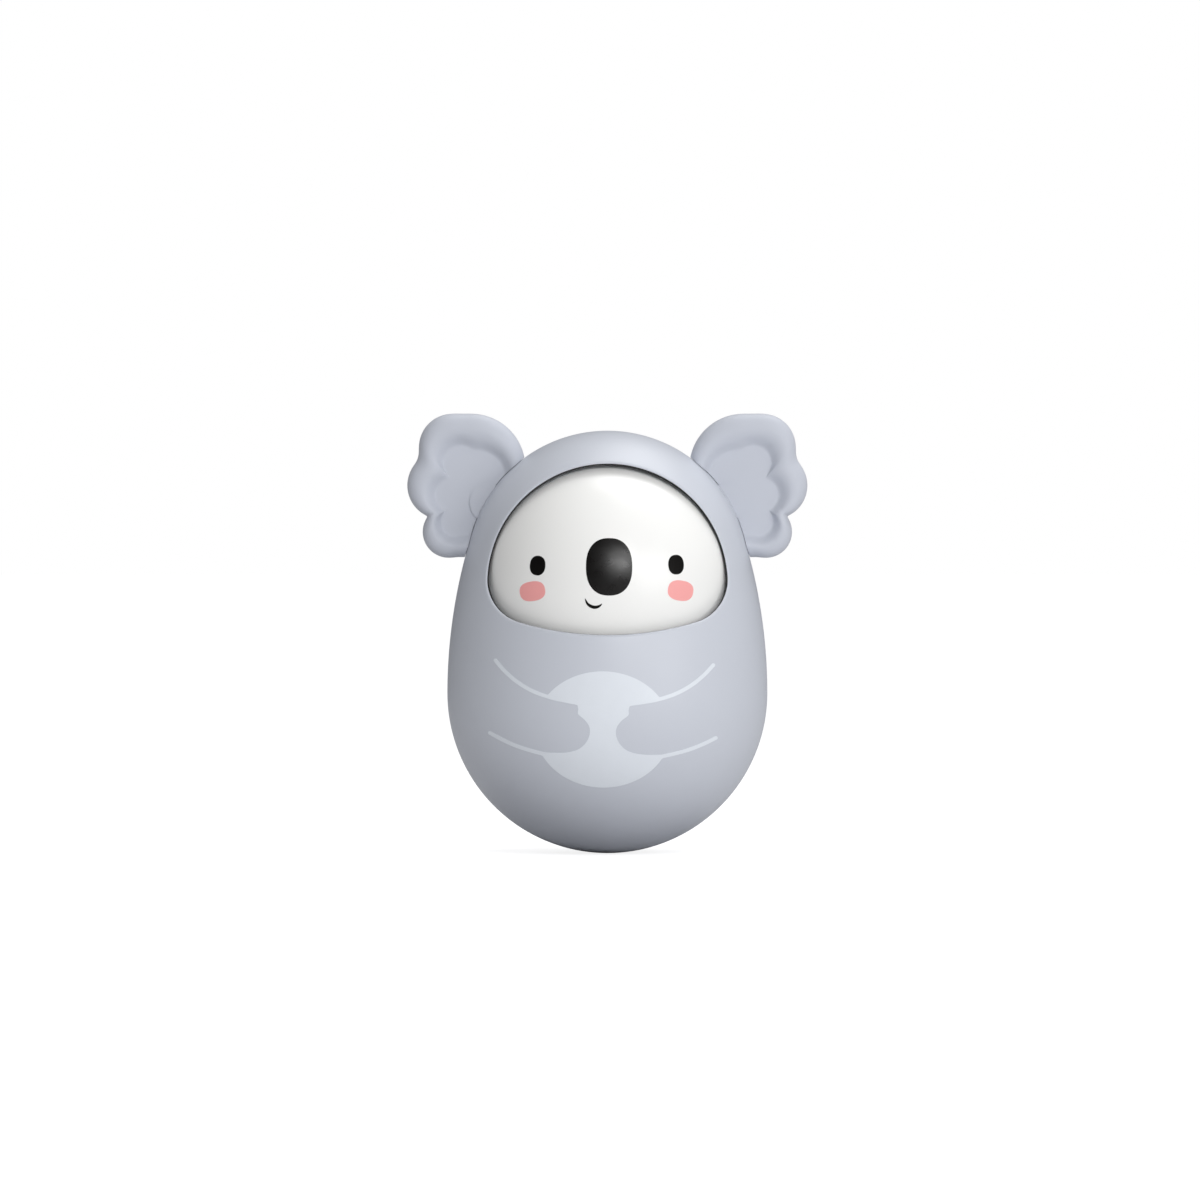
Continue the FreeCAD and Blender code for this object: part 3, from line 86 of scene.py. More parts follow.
class ToySizes(bpy.types.PropertyGroup):
    """Sizes of the moulded body, the face opening and the ears."""

    crown_step: length("Crown step", "How much smaller the crown's radius is than the bottom's", 6.1)
    wall: length("Wall", "Wall of both shells", 2.4)
    opening_top: length("Opening top", "Height of the top of the face opening", 121.7)
    opening_top_radius: length("Opening top radius", "Radius of its round top", 37.2)
    opening_bottom: length("Opening bottom", "Height of its lowest point", 69.2)
    opening_bottom_radius: length("Opening bottom radius", "Radius of its lower lip", 100.0)
    opening_corner_radius: length("Opening corner radius", "Radius of its lower corners", 13.3)
    lip_round: length("Lip rounding", "Rounding of the lip's outer edge", 1.0)
    # Width of the dark ring of painted shade inside the lip, which stands for the shadowed gap between the
    # lip and the ball.
    painted_shade_width: length("Seal width", "Dark seal that shows inside the lip", 0.42)
    ball_radius: length("Ball radius", "Face ball", 39.8)
    ball_gap: length("Ball gap", "Clearance round the ball inside the hood", 0.5)
    ear_thickness: length("Ear thickness", "Largest thickness of an ear", 9.0)
    ear_hollow: length("Ear hollow", "Depth of the hollow in the front of an ear", 2.6)
    print_lift: length("Print lift", "How far printed ink stands on the plastic", 0.06)
    line_width: length("Line width", "Printed lines of the arms", 1.15)


class ToyColours(bpy.types.PropertyGroup):
    """Colours of the plastics and inks."""

    body: colour("Body", "Cool grey plastic of the shells", "c4c8d1")
    ear: colour("Ears", "Soft plastic of the ears", "bdc1cb")
    face: colour("Face", "White plastic of the ball", "f0f0ee")
    tummy: colour("Tummy", "Pale ink of the tummy print", "dce1e8")
    dark: colour("Dark ink", "Ink of the eyes, nose and smile", "0b0908")
    cheek: colour("Cheeks", "Ink of the cheeks", "f2a6a4")


def sizes():
    return bpy.context.scene.toy_sizes


def colours():
    return bpy.context.scene.toy_colours


# ---------------------------------------------------------------------------------------------
# The egg: three arcs that meet smoothly, turned about the upright axis
# ---------------------------------------------------------------------------------------------

BASE_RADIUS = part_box("rear_shell")[1].x
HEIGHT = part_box("rear_shell")[1].z
# The ball turns about the middle of its axle.
BALL_CENTRE = sum(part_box("nod_axle"), Vector()) / 2


class Egg:
    """The body's egg, smaller all round by inset."""

    def __init__(self, inset=0.0):
        step = sizes().crown_step
        crown = BASE_RADIUS - step
        self.crown_centre = HEIGHT - crown
        rise = self.crown_centre - BASE_RADIUS
        side = (BASE_RADIUS**2 + rise**2 - crown**2) / (2 * step)
        self.side_centre = BASE_RADIUS - side
        self.lean = math.atan2(rise, -self.side_centre)
        self.base, self.side, self.crown = BASE_RADIUS - inset, side - inset, crown - inset
        self.side_top = BASE_RADIUS + self.side * math.sin(self.lean)

    def at_slope(self, slope):
        """Radius and height where the wall's normal rises by slope."""
        if slope < 0:
            return self.base * math.cos(slope), BASE_RADIUS + self.base * math.sin(slope)
        if slope < self.lean:
            return self.side_centre + self.side * math.cos(slope), BASE_RADIUS + self.side * math.sin(slope)
        return self.crown * math.cos(slope), self.crown_centre + self.crown * math.sin(slope)

    def radius(self, height):
        if height <= BASE_RADIUS:
            return math.sqrt(max(0.0, self.base**2 - (height - BASE_RADIUS) ** 2))
        if height < self.side_top:
            return self.side_centre + math.sqrt(self.side**2 - (height - BASE_RADIUS) ** 2)
        return math.sqrt(max(0.0, self.crown**2 - (height - self.crown_centre) ** 2))

    def depth(self, x, z):
        """How far the wall lies from the seam's plane at a place in the front view."""
        return math.sqrt(max(0.0, self.radius(z) ** 2 - x**2))

    def holds(self, x, z):
        return abs(x) < self.radius(z)


def ball_front(x, z):
    """The front of the face ball at a place in the front view."""
    rise = z - BALL_CENTRE.z
    return BALL_CENTRE.y - math.sqrt(max(0.0, sizes().ball_radius**2 - x**2 - rise**2))


def opening_holds(x, z):
    """Whether a place in the front view lies in the face opening, two arcs with round corners."""
    s = sizes()
    corner = s.opening_corner_radius
    discs = (
        (s.opening_top - s.opening_top_radius, s.opening_top_radius - corner),
        (s.opening_bottom + s.opening_bottom_radius, s.opening_bottom_radius - corner),
    )
    gaps, feet = [], []
    for centre, radius in discs:
        away = math.hypot(x, z - centre)
        gaps.append(away - radius)
        share = radius / max(away, 1e-9)
        feet.append((x * share, centre + (z - centre) * share))
    for gap, foot, (centre, radius) in zip(gaps, feet, reversed(discs)):
        if math.hypot(foot[0], foot[1] - centre) <= radius:
            return gap < corner
    (low, low_radius), (high, high_radius) = discs
    apart = high - low
    level = (apart**2 + low_radius**2 - high_radius**2) / (2 * apart)
    corner_x = math.sqrt(low_radius**2 - level**2)
    return math.hypot(abs(x) - corner_x, z - low - level) < corner


def reach(middle, angle, holds, limit=0.2, steps=44):
    """How far a ray from the middle goes before it leaves a shape in the front view."""
    low, high = 0.0, limit
    for _ in range(steps):
        half = (low + high) / 2
        if holds(middle[0] + half * math.cos(angle), middle[1] + half * math.sin(angle)):
            low = half
        else:
            high = half
    return low


# ---------------------------------------------------------------------------------------------
# Modelling helpers
# ---------------------------------------------------------------------------------------------


MERGE_DISTANCE = 2e-6
LEAST_EDGE = 1e-7


def deselect():
    bpy.ops.object.select_all(action="DESELECT")


def activate(piece):
    deselect()
    piece.select_set(True)
    bpy.context.view_layer.objects.active = piece


def finish_mesh(piece, crease=math.radians(40)):
    """Merge doubles, turn the faces outwards and shade the piece smooth."""
    activate(piece)
    bpy.ops.object.mode_set(mode="EDIT")
    bpy.ops.mesh.select_all(action="SELECT")
    bpy.ops.mesh.remove_doubles(threshold=MERGE_DISTANCE)
    bpy.ops.mesh.dissolve_degenerate(threshold=LEAST_EDGE)
    bpy.ops.mesh.normals_make_consistent(inside=False)
    bpy.ops.object.mode_set(mode="OBJECT")
    bpy.ops.object.shade_smooth_by_angle(angle=crease)
    return piece


def loft(name, stations, columns, crease=math.radians(40)):
    """A grid whose rows are wrapped round the stations, each a function of the turn from 0 to 1."""
    deselect()
    bpy.ops.mesh.primitive_grid_add(x_subdivisions=columns, y_subdivisions=len(stations) - 1, size=1)
    piece = bpy.context.object
    piece.name = name
    piece.data.name = name
    for vertex in piece.data.vertices:
        turn = round((vertex.co.x + 0.5) * columns) / columns
        row = round((vertex.co.y + 0.5) * (len(stations) - 1))
        vertex.co = stations[row](turn)
    return finish_mesh(piece, crease)


def drum(name, radius, height, centre, vertices=64):
    """A cylinder that lies along the front-to-back axis."""
    deselect()
    bpy.ops.mesh.primitive_cylinder_add(
        vertices=vertices, radius=radius, depth=height, location=centre,
        rotation=(math.pi / 2, 0, 0))
    piece = bpy.context.object
    piece.name = name
    bpy.ops.object.transform_apply(location=True, rotation=True, scale=True)
    return piece


def combine(piece, tool, operation):
    """Cut or join with another solid, which is used up."""
    activate(piece)
    step = piece.modifiers.new("combine", "BOOLEAN")
    step.operation = operation
    step.solver = "EXACT"
    step.object = tool
    bpy.ops.object.modifier_apply(modifier=step.name)
    bpy.data.objects.remove(tool, do_unlink=True)
    return piece


def place(piece, material, body, slot, *nodes):
    """Give a finished piece its finish, its body and the nodes that it stands for."""
    piece.data.materials.clear()
    piece.data.materials.append(material)
    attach(piece, body)
    if nodes:
        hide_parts(*nodes)
    return piece


# ---------------------------------------------------------------------------------------------
# Materials
# ---------------------------------------------------------------------------------------------


def add_node(owner, kind, inputs=None, **settings):
    """Add a node to a material or world, set it up and link or set its inputs."""
    made = owner.node_tree.nodes.new(kind)
    for name, value in settings.items():
        setattr(made, name, value)
    for name, value in (inputs or {}).items():
        if isinstance(value, bpy.types.NodeSocket):
            owner.node_tree.links.new(value, made.inputs[name])
        else:
            made.inputs[name].default_value = value
    return made


def surface(name, **shader):
    """A new material with its shader's own sockets set; spaces in their names are underscores."""
    material = bpy.data.materials.new(name)
    material.use_nodes = True
    bsdf = material.node_tree.nodes["Principled BSDF"]
    for socket, value in shader.items():
        bsdf.inputs[socket.replace("_", " ")].default_value = value
    return material, bsdf


def link(owner, output, node, socket):
    owner.node_tree.links.new(output, node.inputs[socket])


def object_place(material):
    return add_node(material, "ShaderNodeTexCoord").outputs["Object"]


def noise(material, patch, detail=2.0):
    """Noise whose patches are about so many metres across."""
    return add_node(
        material, "ShaderNodeTexNoise",
        {"Vector": object_place(material), "Scale": 1 / patch, "Detail": detail})


def rgba(values, share=1.0):
    return tuple(channel * share for channel in values) + (1.0,)


def mottle(material, bsdf, base, patch, spread):
    """A faint unevenness of the colour, as between the cool and hot sides of a mould."""
    cloud = noise(material, patch)
    mix = add_node(
        material, "ShaderNodeMix",
        {"Factor": cloud.outputs["Fac"], "A": rgba(base, 1 - spread), "B": rgba(base, 1 + spread)},
        data_type="RGBA")
    link(material, mix.outputs["Result"], bsdf, "Base Color")


def grain(material, bsdf, patch, depth, strength):
    """The fine eroded texture of a mould, raised by depth."""
    cloud = noise(material, patch, detail=3.0)
    bump = add_node(
        material, "ShaderNodeBump",
        {"Height": cloud.outputs["Fac"], "Distance": depth, "Strength": strength})
    link(material, bump.outputs["Normal"], bsdf, "Normal")


def roughness_range(material, bsdf, patch, low, high):
    """Handling makes the gloss a little uneven."""
    cloud = noise(material, patch)
    spread = add_node(
        material, "ShaderNodeMapRange",
        {"Value": cloud.outputs["Fac"], "From Min": 0.3, "From Max": 0.7, "To Min": low, "To Max": high})
    link(material, spread.outputs["Result"], bsdf, "Roughness")


def satin_abs():
    """Moulded ABS with a satin eroded texture: a broad, soft highlight and no sharp reflections."""
    material, bsdf = surface("satin_moulded_abs", IOR=1.53, Specular_IOR_Level=0.45)
    mottle(material, bsdf, colours().body, 22 * MM, 0.012)
    roughness_range(material, bsdf, 14 * MM, 0.40, 0.46)
    # The real grain is about 0.1 mm; it is drawn at 0.35 mm, the finest that a view still shows.
    grain(material, bsdf, 0.35 * MM, 0.012 * MM, 0.35)
    return material


def soft_touch_tpe():
    """Moulded thermoplastic rubber: matte, with a faint bloom at grazing angles."""
    material, bsdf = surface(
        "soft_touch_tpe", IOR=1.50, Specular_IOR_Level=0.4, Sheen_Weight=0.12, Sheen_Roughness=0.5)
    mottle(material, bsdf, colours().ear, 12 * MM, 0.015)
    roughness_range(material, bsdf, 9 * MM, 0.50, 0.58)
    grain(material, bsdf, 0.4 * MM, 0.015 * MM, 0.35)
    return material


def white_abs():
    """Polished white ABS: smooth and semi-gloss, slightly translucent at the surface."""
    material, bsdf = surface(
        "semi_gloss_white_abs", IOR=1.53, Specular_IOR_Level=0.45, Coat_Weight=0.15, Coat_Roughness=0.2,
        Coat_IOR=1.5)
    mottle(material, bsdf, colours().face, 30 * MM, 0.006)
    roughness_range(material, bsdf, 12 * MM, 0.30, 0.36)
    grain(material, bsdf, 0.5 * MM, 0.006 * MM, 0.3)
    return material


def pad_ink(name, base, rough, wave=0.6, depth=0.012, shine=0.4):
    """Pad-printed ink: an even film, a little glossier than the plastic, with a fine orange peel."""
    material, bsdf = surface(name, IOR=1.48, Specular_IOR_Level=shine)
    mottle(material, bsdf, base, 5 * MM, 0.02)
    roughness_range(material, bsdf, 3 * MM, rough, rough + 0.06)
    grain(material, bsdf, wave * MM, depth * MM, 0.5)
    return material


def inner_abs():
    """Natural ABS of the inner mouldings, straight from the tool."""
    material, bsdf = surface("natural_moulded_abs", IOR=1.53)
    mottle(material, bsdf, (0.62, 0.60, 0.55), 15 * MM, 0.02)
    roughness_range(material, bsdf, 8 * MM, 0.42, 0.52)
    grain(material, bsdf, 0.5 * MM, 0.01 * MM, 0.4)
    return material


def zinc_steel():
    """Zinc-plated steel: bright, bluish and finely blotched."""
    material, bsdf = surface("zinc_plated_steel", Metallic=1.0)
    mottle(material, bsdf, (0.56, 0.57, 0.60), 0.8 * MM, 0.08)
    roughness_range(material, bsdf, 1.2 * MM, 0.25, 0.40)
    grain(material, bsdf, 0.3 * MM, 0.006 * MM, 0.4)
    return material


def cast_iron():
    """Sand-cast iron with a dark oxide skin: coarse and dull."""
    material, bsdf = surface("sand_cast_iron", Metallic=0.85)
    mottle(material, bsdf, (0.055, 0.055, 0.06), 3 * MM, 0.2)
    roughness_range(material, bsdf, 2 * MM, 0.55, 0.75)
    grain(material, bsdf, 0.9 * MM, 0.15 * MM, 0.8)
    return material


def spun_brass():
    """Brass spun on a lathe: warm and bright, with fine rings of brightness."""
    material, bsdf = surface("spun_brass", Metallic=1.0)
    mottle(material, bsdf, (0.76, 0.52, 0.22), 4 * MM, 0.05)
    roughness_range(material, bsdf, 0.6 * MM, 0.20, 0.32)
    return material


def washer_rubber():
    """Black moulded rubber: dull, with a grey bloom."""
    material, bsdf = surface("moulded_black_rubber", IOR=1.52, Specular_IOR_Level=0.3)
    mottle(material, bsdf, (0.02, 0.02, 0.02), 2 * MM, 0.1)
    roughness_range(material, bsdf, 1 * MM, 0.65, 0.75)
    return material


# ---------------------------------------------------------------------------------------------
# The shells
# ---------------------------------------------------------------------------------------------

SIDES = {"left": -1, "right": 1}
EAR_NECK_ANGLE = math.radians(30)
EAR_NECK_RADIUS = 6.0 * MM
EAR_NECK_THICKNESS = 5.0 * MM
EAR_FLANGE_RADIUS = 9.0 * MM
EAR_FLANGE_WIDTH = 9.0 * MM
EAR_FLANGE_DEPTH = 2.0 * MM
EAR_GAP = 0.15 * MM
COUNTERBORE_RADIUS = 2.4 * MM
# The middle of the rings in the front view, inside the face opening.
RING_MIDDLE = (0.0, 92 * MM)
SHELL_COLUMNS = 288
SHELL_ROWS = 84
LIP_ROWS = 8
SEAM_BREAK = 0.12 * MM
# The dark ring of painted shade grows from its least share to its full width between these heights, as the
# gap's shadow fades towards the bottom of the opening.
PAINTED_SHADE_FADES = (72 * MM, 82 * MM)
PAINTED_SHADE_LEAST = 0.03
PAINTED_SHADE_CLEARANCE = 0.01 * MM
# How far behind the lip's rounding the ring of painted shade starts and ends.
PAINTED_SHADE_DEPTHS = (0.1 * MM, 1.1 * MM)
# Vertices nearer than this to a screw's first one belong to that screw.
SCREW_REACH = 6 * MM


def ray(turn, out):
    """A place in the front view, so far from the rings' middle."""
    angle = 2 * math.pi * turn
    return RING_MIDDLE[0] + out * math.cos(angle), RING_MIDDLE[1] + out * math.sin(angle)


def ring(egg, sign, start):
    """Rows on one side of an egg: share 0 is the start of the ray and share 1 the seam."""
    rim = cache(lambda turn: reach(RING_MIDDLE, 2 * math.pi * turn, egg.holds))

    def row(share):
        def station(turn):
            first, last = start(turn), rim(turn)
            x, z = ray(turn, first + (last - first) * share * (2 - share))
            return Vector((x, 0.0 if share >= 1 else sign * egg.depth(x, z), z))
        return station

    return row


def outer_rows(row):
    """From the seam, whose edge is broken by a hair, to where the rays start."""
    seam = ring(Egg(SEAM_BREAK), 1, lambda turn: 0.0)(1)
    shares = [1 - SEAM_BREAK / HEIGHT * 3] + [1 - step / SHELL_ROWS for step in range(1, SHELL_ROWS)]
    return [seam] + [row(share) for share in shares]


def mouth_edge():
    """How far each ray goes to the edge of the face opening."""
    return cache(lambda turn: reach(RING_MIDDLE, 2 * math.pi * turn, opening_holds))


def front_stations(outer, inner):
    """From the seam over the outside to the lip, round it, and back along the inside."""
    s = sizes()
    mouth = mouth_edge()
    room = s.ball_radius + s.ball_gap
    on_outer = ring(outer, -1, lambda turn: mouth(turn) + s.lip_round)
    on_inner = ring(inner, -1, mouth)

    def on_lip(bend):
        def station(turn):
            x, z = ray(turn, mouth(turn) + s.lip_round * (1 - math.sin(bend)))
            return Vector((x, -outer.depth(x, z) + s.lip_round * (1 - math.cos(bend)), z))
        return station

    def clear_of_ball(station):
        def moved(turn):
            point = station(turn)
            away = point - BALL_CENTRE
            return BALL_CENTRE + away * (room / away.length) if away.length < room else point
        return moved

    rows = outer_rows(on_outer)
    rows += [on_lip(math.pi / 2 * row / LIP_ROWS) for row in range(LIP_ROWS + 1)]
    rows += [clear_of_ball(on_inner(row / SHELL_ROWS)) for row in range(SHELL_ROWS + 1)]
    return rows + rows[:1]


def rear_stations(outer, inner):
    """From the seam over the outside to the middle of the back, and back along the inside."""
    on_outer, on_inner = (ring(egg, 1, lambda turn: 0.0) for egg in (outer, inner))
    rows = outer_rows(on_outer) + [on_outer(0)]
    rows += [on_inner(row / SHELL_ROWS) for row in range(SHELL_ROWS + 1)]
    return rows + rows[:1]


def painted_shade_stations():
    """A thin dark ring just behind the lip, painted shade for the shadowed gap between the lip and the
    ball, which runs out towards the bottom of the opening.
    """
    s = sizes()
    mouth = mouth_edge()
    outer = Egg()

    def edge(share, back):
        def station(turn):
            edge_x, edge_z = ray(turn, mouth(turn))
            grown = (edge_z - PAINTED_SHADE_FADES[0]) / (PAINTED_SHADE_FADES[1] - PAINTED_SHADE_FADES[0])
            fade = min(max(grown, PAINTED_SHADE_LEAST), 1.0)
            x, z = ray(turn, mouth(turn) - PAINTED_SHADE_CLEARANCE - s.painted_shade_width * fade * share)
            return Vector((x, s.lip_round + back - outer.depth(edge_x, edge_z), z))
        return station

    front, back = PAINTED_SHADE_DEPTHS
    rows = [edge(0, front), edge(1, front), edge(1, back), edge(0, back)]
    return rows + rows[:1]


def make_painted_shade():
    # A dark ring of painted shade, in the black rubber of the washers, put where the gap between the lip
    # and the ball lies in shadow.
    painted_shade = loft("hood_seal", painted_shade_stations(), SHELL_COLUMNS)
    return place(painted_shade, bpy.data.materials["moulded_black_rubber"], "root", "washer_rubber")


def screw_places():
    """The middle of each screw of the shells, from its own part of the frame's mesh."""
    mesh = frame["nodes"]["shell_screws"].data
    spots = []
    for vertex in mesh.vertices:
        for spot in spots:
            if math.hypot(vertex.co.x - spot[0].x, vertex.co.z - spot[0].z) < SCREW_REACH:
                spot.append(vertex.co)
                break
        else:
            spots.append([vertex.co])
    places = []
    for spot in spots:
        lows = [min(point[axis] for point in spot) for axis in range(3)]
        highs = [max(point[axis] for point in spot) for axis in range(3)]
        places.append(Vector([(low + high) / 2 for low, high in zip(lows, highs)]))
    return places


def ear_neck(name, side, spare):
    """The disc in the seam that carries an ear, larger all round by spare."""
    reach_out = BASE_RADIUS - sizes().crown_step - sizes().wall / 2
    x = reach_out * math.cos(EAR_NECK_ANGLE)
    z = Egg().crown_centre + reach_out * math.sin(EAR_NECK_ANGLE)
    return drum(name, EAR_NECK_RADIUS + spare, EAR_NECK_THICKNESS + 2 * spare, (SIDES[side] * x, 0, z))


def make_shell(name, stations, node):
    """One shell's wall, with the slots of the ears and, in the rear one, the counterbores."""
    wall = sizes().wall
    shell = loft(name, stations(Egg(), Egg(wall)), SHELL_COLUMNS)
    for side in SIDES:
        combine(shell, ear_neck(f"slot_{side}", side, EAR_GAP), "DIFFERENCE")
    if node == "rear_shell":
        for number, spot in enumerate(screw_places()):
            middle = (spot.x, spot.y + BASE_RADIUS / 2, spot.z)
            hole = drum(f"counterbore_{number}", COUNTERBORE_RADIUS, BASE_RADIUS, middle)
            combine(shell, hole, "DIFFERENCE")
    finish_mesh(shell)
    return place(shell, bpy.data.materials["satin_moulded_abs"], "root", "body_grey", node)


# ---------------------------------------------------------------------------------------------
# The ears
# ---------------------------------------------------------------------------------------------

# Where the rays of the right ear start in the front view, in millimetres.
EAR_MIDDLE = (44.0, 111.5)
# Each lobe of the right ear and of its hollow: x, z and radius in millimetres.
EAR_LOBES = (
    (42.5, 120.4, 16.9), (48.6, 127.0, 10.2), (52.0, 114.9, 10.5), (49.6, 100.4, 8.1),
    (44.5, 100.6, 8.1), (35.0, 110.0, 13.5),
)
HOLLOW_LOBES = (
    (45.8, 122.4, 5.9), (40.6, 117.2, 9.6), (48.3, 112.0, 6.1), (47.3, 103.3, 5.1), (44.0, 103.5, 4.7),
    (37.0, 109.5, 9.6),
)
# The higher the power, the sharper the notches between the lobes.
OUTLINE_POWER = 40
HOLLOW_POWER = 26
EAR_COLUMNS = 256
EAR_CREASE = math.radians(60)
# How far the crest lies inside the outline: a share of the rim's width, at least and at most so
# much, the last as a share of half the ear's thickness.
CREST_SHARE = 0.55
CREST_LEAST = 2.0 * MM
CREST_MOST = 1.1
# The bend of the slope below the crest and above the floor.
SLOPE_LEAN = 0.3
SLOPE_FOOT = 0.2 * MM
FLOOR_ROUND = 1.3 * MM
SLOPE_ROWS = 16
RIM_ROWS = 12
FLOOR_ROWS = 6


def lobes_reach(lobes, angle, power):
    """How far a ray from the ear's middle reaches over overlapping lobes, with softened notches."""
    across, up = math.cos(angle), math.sin(angle)
    total = 0.0
    for x, z, radius in lobes:
        offset_x, offset_z = x - EAR_MIDDLE[0], z - EAR_MIDDLE[1]
        along = offset_x * across + offset_z * up
        inside = radius**2 - offset_x**2 - offset_z**2 + along**2
        if inside > 0 and along + math.sqrt(inside) > 0:
            total += (along + math.sqrt(inside)) ** power
    return total ** (1 / power) * MM


def ear_stations(sign):
    """From the middle of the back round the puffy rim to the middle of the hollow's floor."""
    s = sizes()
    half = s.ear_thickness / 2
    outline = cache(lambda turn: lobes_reach(EAR_LOBES, 2 * math.pi * turn, OUTLINE_POWER))
    hollow = cache(lambda turn: lobes_reach(HOLLOW_LOBES, 2 * math.pi * turn, HOLLOW_POWER))

    def point(turn, out, y):
        angle = 2 * math.pi * turn
        x = EAR_MIDDLE[0] * MM + out * math.cos(angle)
        z = EAR_MIDDLE[1] * MM + out * math.sin(angle)
        return Vector((sign * x, y, z))

    def crest(turn):
        """The middle of the puffy rim, where it stands highest."""
        rim = outline(turn) - hollow(turn)
        return outline(turn) - min(max(rim * CREST_SHARE, CREST_LEAST), half * CREST_MOST)

    def back(share):
        return lambda turn: point(turn, (outline(turn) - half) * share, half)

    def back_rim(bend):
        return lambda turn: point(
            turn, outline(turn) - half * (1 - math.sin(bend)), half * math.cos(bend))

    def front_rim(bend):
        return lambda turn: point(
            turn, crest(turn) + (outline(turn) - crest(turn)) * math.cos(bend), -half * math.sin(bend))

    def slope(share):
        """Flat at the crest, steep beside the hollow's edge and flat again on its floor."""
        rest = 1 - share
        level = share * share * (3 - 2 * share)

        def station(turn):
            edge, top = hollow(turn), crest(turn)
            out = (rest**3 * top + 3 * rest**2 * share * (edge + (top - edge) * SLOPE_LEAN)
                   + 3 * rest * share**2 * (edge + SLOPE_FOOT) + share**3 * (edge - FLOOR_ROUND))
            return point(turn, out, -half + s.ear_hollow * level)
        return station

    def floor(share):
        return lambda turn: point(turn, (hollow(turn) - FLOOR_ROUND) * (1 - share), -half + s.ear_hollow)

    rows = [back(row / FLOOR_ROWS) for row in range(FLOOR_ROWS)]
    rows += [back_rim(math.pi / 2 * row / RIM_ROWS) for row in range(RIM_ROWS)]
    rows += [front_rim(math.pi / 2 * row / RIM_ROWS) for row in range(RIM_ROWS)]
    rows += [slope(row / SLOPE_ROWS) for row in range(SLOPE_ROWS)]
    rows += [floor(row / FLOOR_ROWS) for row in range(FLOOR_ROWS + 1)]
    return rows


def solid_egg(name, inset, columns=192, rows=120):
    """The whole egg as one solid, used to trim what fits against it."""
    egg = Egg(inset)

    def level(slope):
        radius, height = egg.at_slope(slope)
        return lambda turn: Vector((
            radius * math.cos(2 * math.pi * turn), radius * math.sin(2 * math.pi * turn), height))

    return loft(name, [level(math.pi * (row / rows - 0.5)) for row in range(rows + 1)], columns)


def make_ear(side, sign):
    """The soft moulding, trimmed to the egg, with its neck through the wall and the flange inside."""
    ear = loft(f"{side}_ear_moulding", ear_stations(sign), EAR_COLUMNS, crease=EAR_CREASE)
    combine(ear, solid_egg("ear_trim", -EAR_GAP), "DIFFERENCE")
    flange = ear_neck("flange", side, EAR_FLANGE_RADIUS - EAR_NECK_RADIUS)
    flange.scale.y = EAR_FLANGE_WIDTH / flange.dimensions.y
    activate(flange)
    bpy.ops.object.transform_apply(location=False, rotation=False, scale=True)
    under_wall = sizes().wall + EAR_GAP
    combine(flange, solid_egg("flange_trim", under_wall), "INTERSECT")
    combine(ear, ear_neck("neck", side, 0.0), "UNION")
    combine(ear, flange, "UNION")
    combine(ear, solid_egg("flange_floor", under_wall + EAR_FLANGE_DEPTH), "DIFFERENCE")
    activate(ear)
    bpy.ops.object.shade_smooth_by_angle(angle=EAR_CREASE)
    return place(ear, bpy.data.materials["soft_touch_tpe"], "root", "ear_grey", f"{side}_ear")


# ---------------------------------------------------------------------------------------------
# The face ball
# ---------------------------------------------------------------------------------------------

BALL_WALL = 2.2 * MM
BALL_SEGMENTS = 192
BALL_RINGS = 120


def bisect(piece, point, normal):
    """Cut the piece by a plane and drop what lies beyond it, along the normal."""
    activate(piece)
    bpy.ops.object.mode_set(mode="EDIT")
    bpy.ops.mesh.select_all(action="SELECT")
    bpy.ops.mesh.bisect(plane_co=point, plane_no=normal, clear_outer=True, use_fill=False)
    bpy.ops.object.mode_set(mode="OBJECT")


def make_head():
    """The face half of the ball: a smooth wall, open below where the fork stands."""
    deselect()
    bpy.ops.mesh.primitive_uv_sphere_add(
        segments=BALL_SEGMENTS, ring_count=BALL_RINGS, radius=sizes().ball_radius,
        location=BALL_CENTRE)
    ball = bpy.context.object
    ball.name = "face_moulding"
    bpy.ops.object.transform_apply(location=True, rotation=False, scale=False)
    bisect(ball, BALL_CENTRE, (0, 1, 0))
    bisect(ball, (0, 0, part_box("head_front")[0].z), (0, 0, -1))
    wall = ball.modifiers.new("wall", "SOLIDIFY")
    wall.thickness = BALL_WALL
    wall.offset = -1
    bpy.ops.object.modifier_apply(modifier=wall.name)
    finish_mesh(ball)
    return place(ball, bpy.data.materials["semi_gloss_white_abs"], "head", "face_white", "head_front")


# ---------------------------------------------------------------------------------------------
# The printed face
# ---------------------------------------------------------------------------------------------

# Eyes, nose and cheeks: x, z, half width, half height in millimetres, squareness and tilt in degrees.
FACE_PRINTS = (
    ("left_eye", "dark", (-21.5, 90.4, 2.4, 3.02, 2.25, -6)),
    ("right_eye", "dark", (21.1, 90.7, 2.4, 3.02, 2.25, 4)),
    ("nose", "nose", (0.5, 90.1, 7.1, 8.8, 2.35, 0)),
    ("left_cheek", "cheek", (-23.1, 82.5, 3.95, 3.0, 2.5, 10)),
    ("right_cheek", "cheek", (22.5, 82.7, 3.95, 3.1, 2.5, -10)),
)
# The smile, from its left end to its right end: x and z in millimetres.
SMILE = ((-6.9, 80.4), (-6.0, 78.7), (-4.3, 77.8), (-2.7, 78.0), (-1.7, 78.8))
# How thick the smile is above and below its line, at its middle and at its tips, in millimetres,
# and how quickly it thins: a power below 1 keeps it full for longer.
SMILE_ABOVE, SMILE_BELOW, SMILE_TIP = 0.42, 0.55, 0.01
SMILE_POWER = 0.8
SMILE_STEPS = 12
# How deep the ink reaches into the plastic, so that the film is a closed solid.
INK_BODY = 0.12 * MM
OVAL_COLUMNS = 96
OVAL_ROWS = 10


def superellipse(turn, half_width, half_height, squareness, tilt):
    """A point of a rounded oval."""
    angle = 2 * math.pi * turn
    across, up = math.cos(angle), math.sin(angle)
    x = half_width * math.copysign(abs(across) ** (2 / squareness), across)
    z = half_height * math.copysign(abs(up) ** (2 / squareness), up)
    lean = math.radians(tilt)
    return x * math.cos(lean) - z * math.sin(lean), x * math.sin(lean) + z * math.cos(lean)


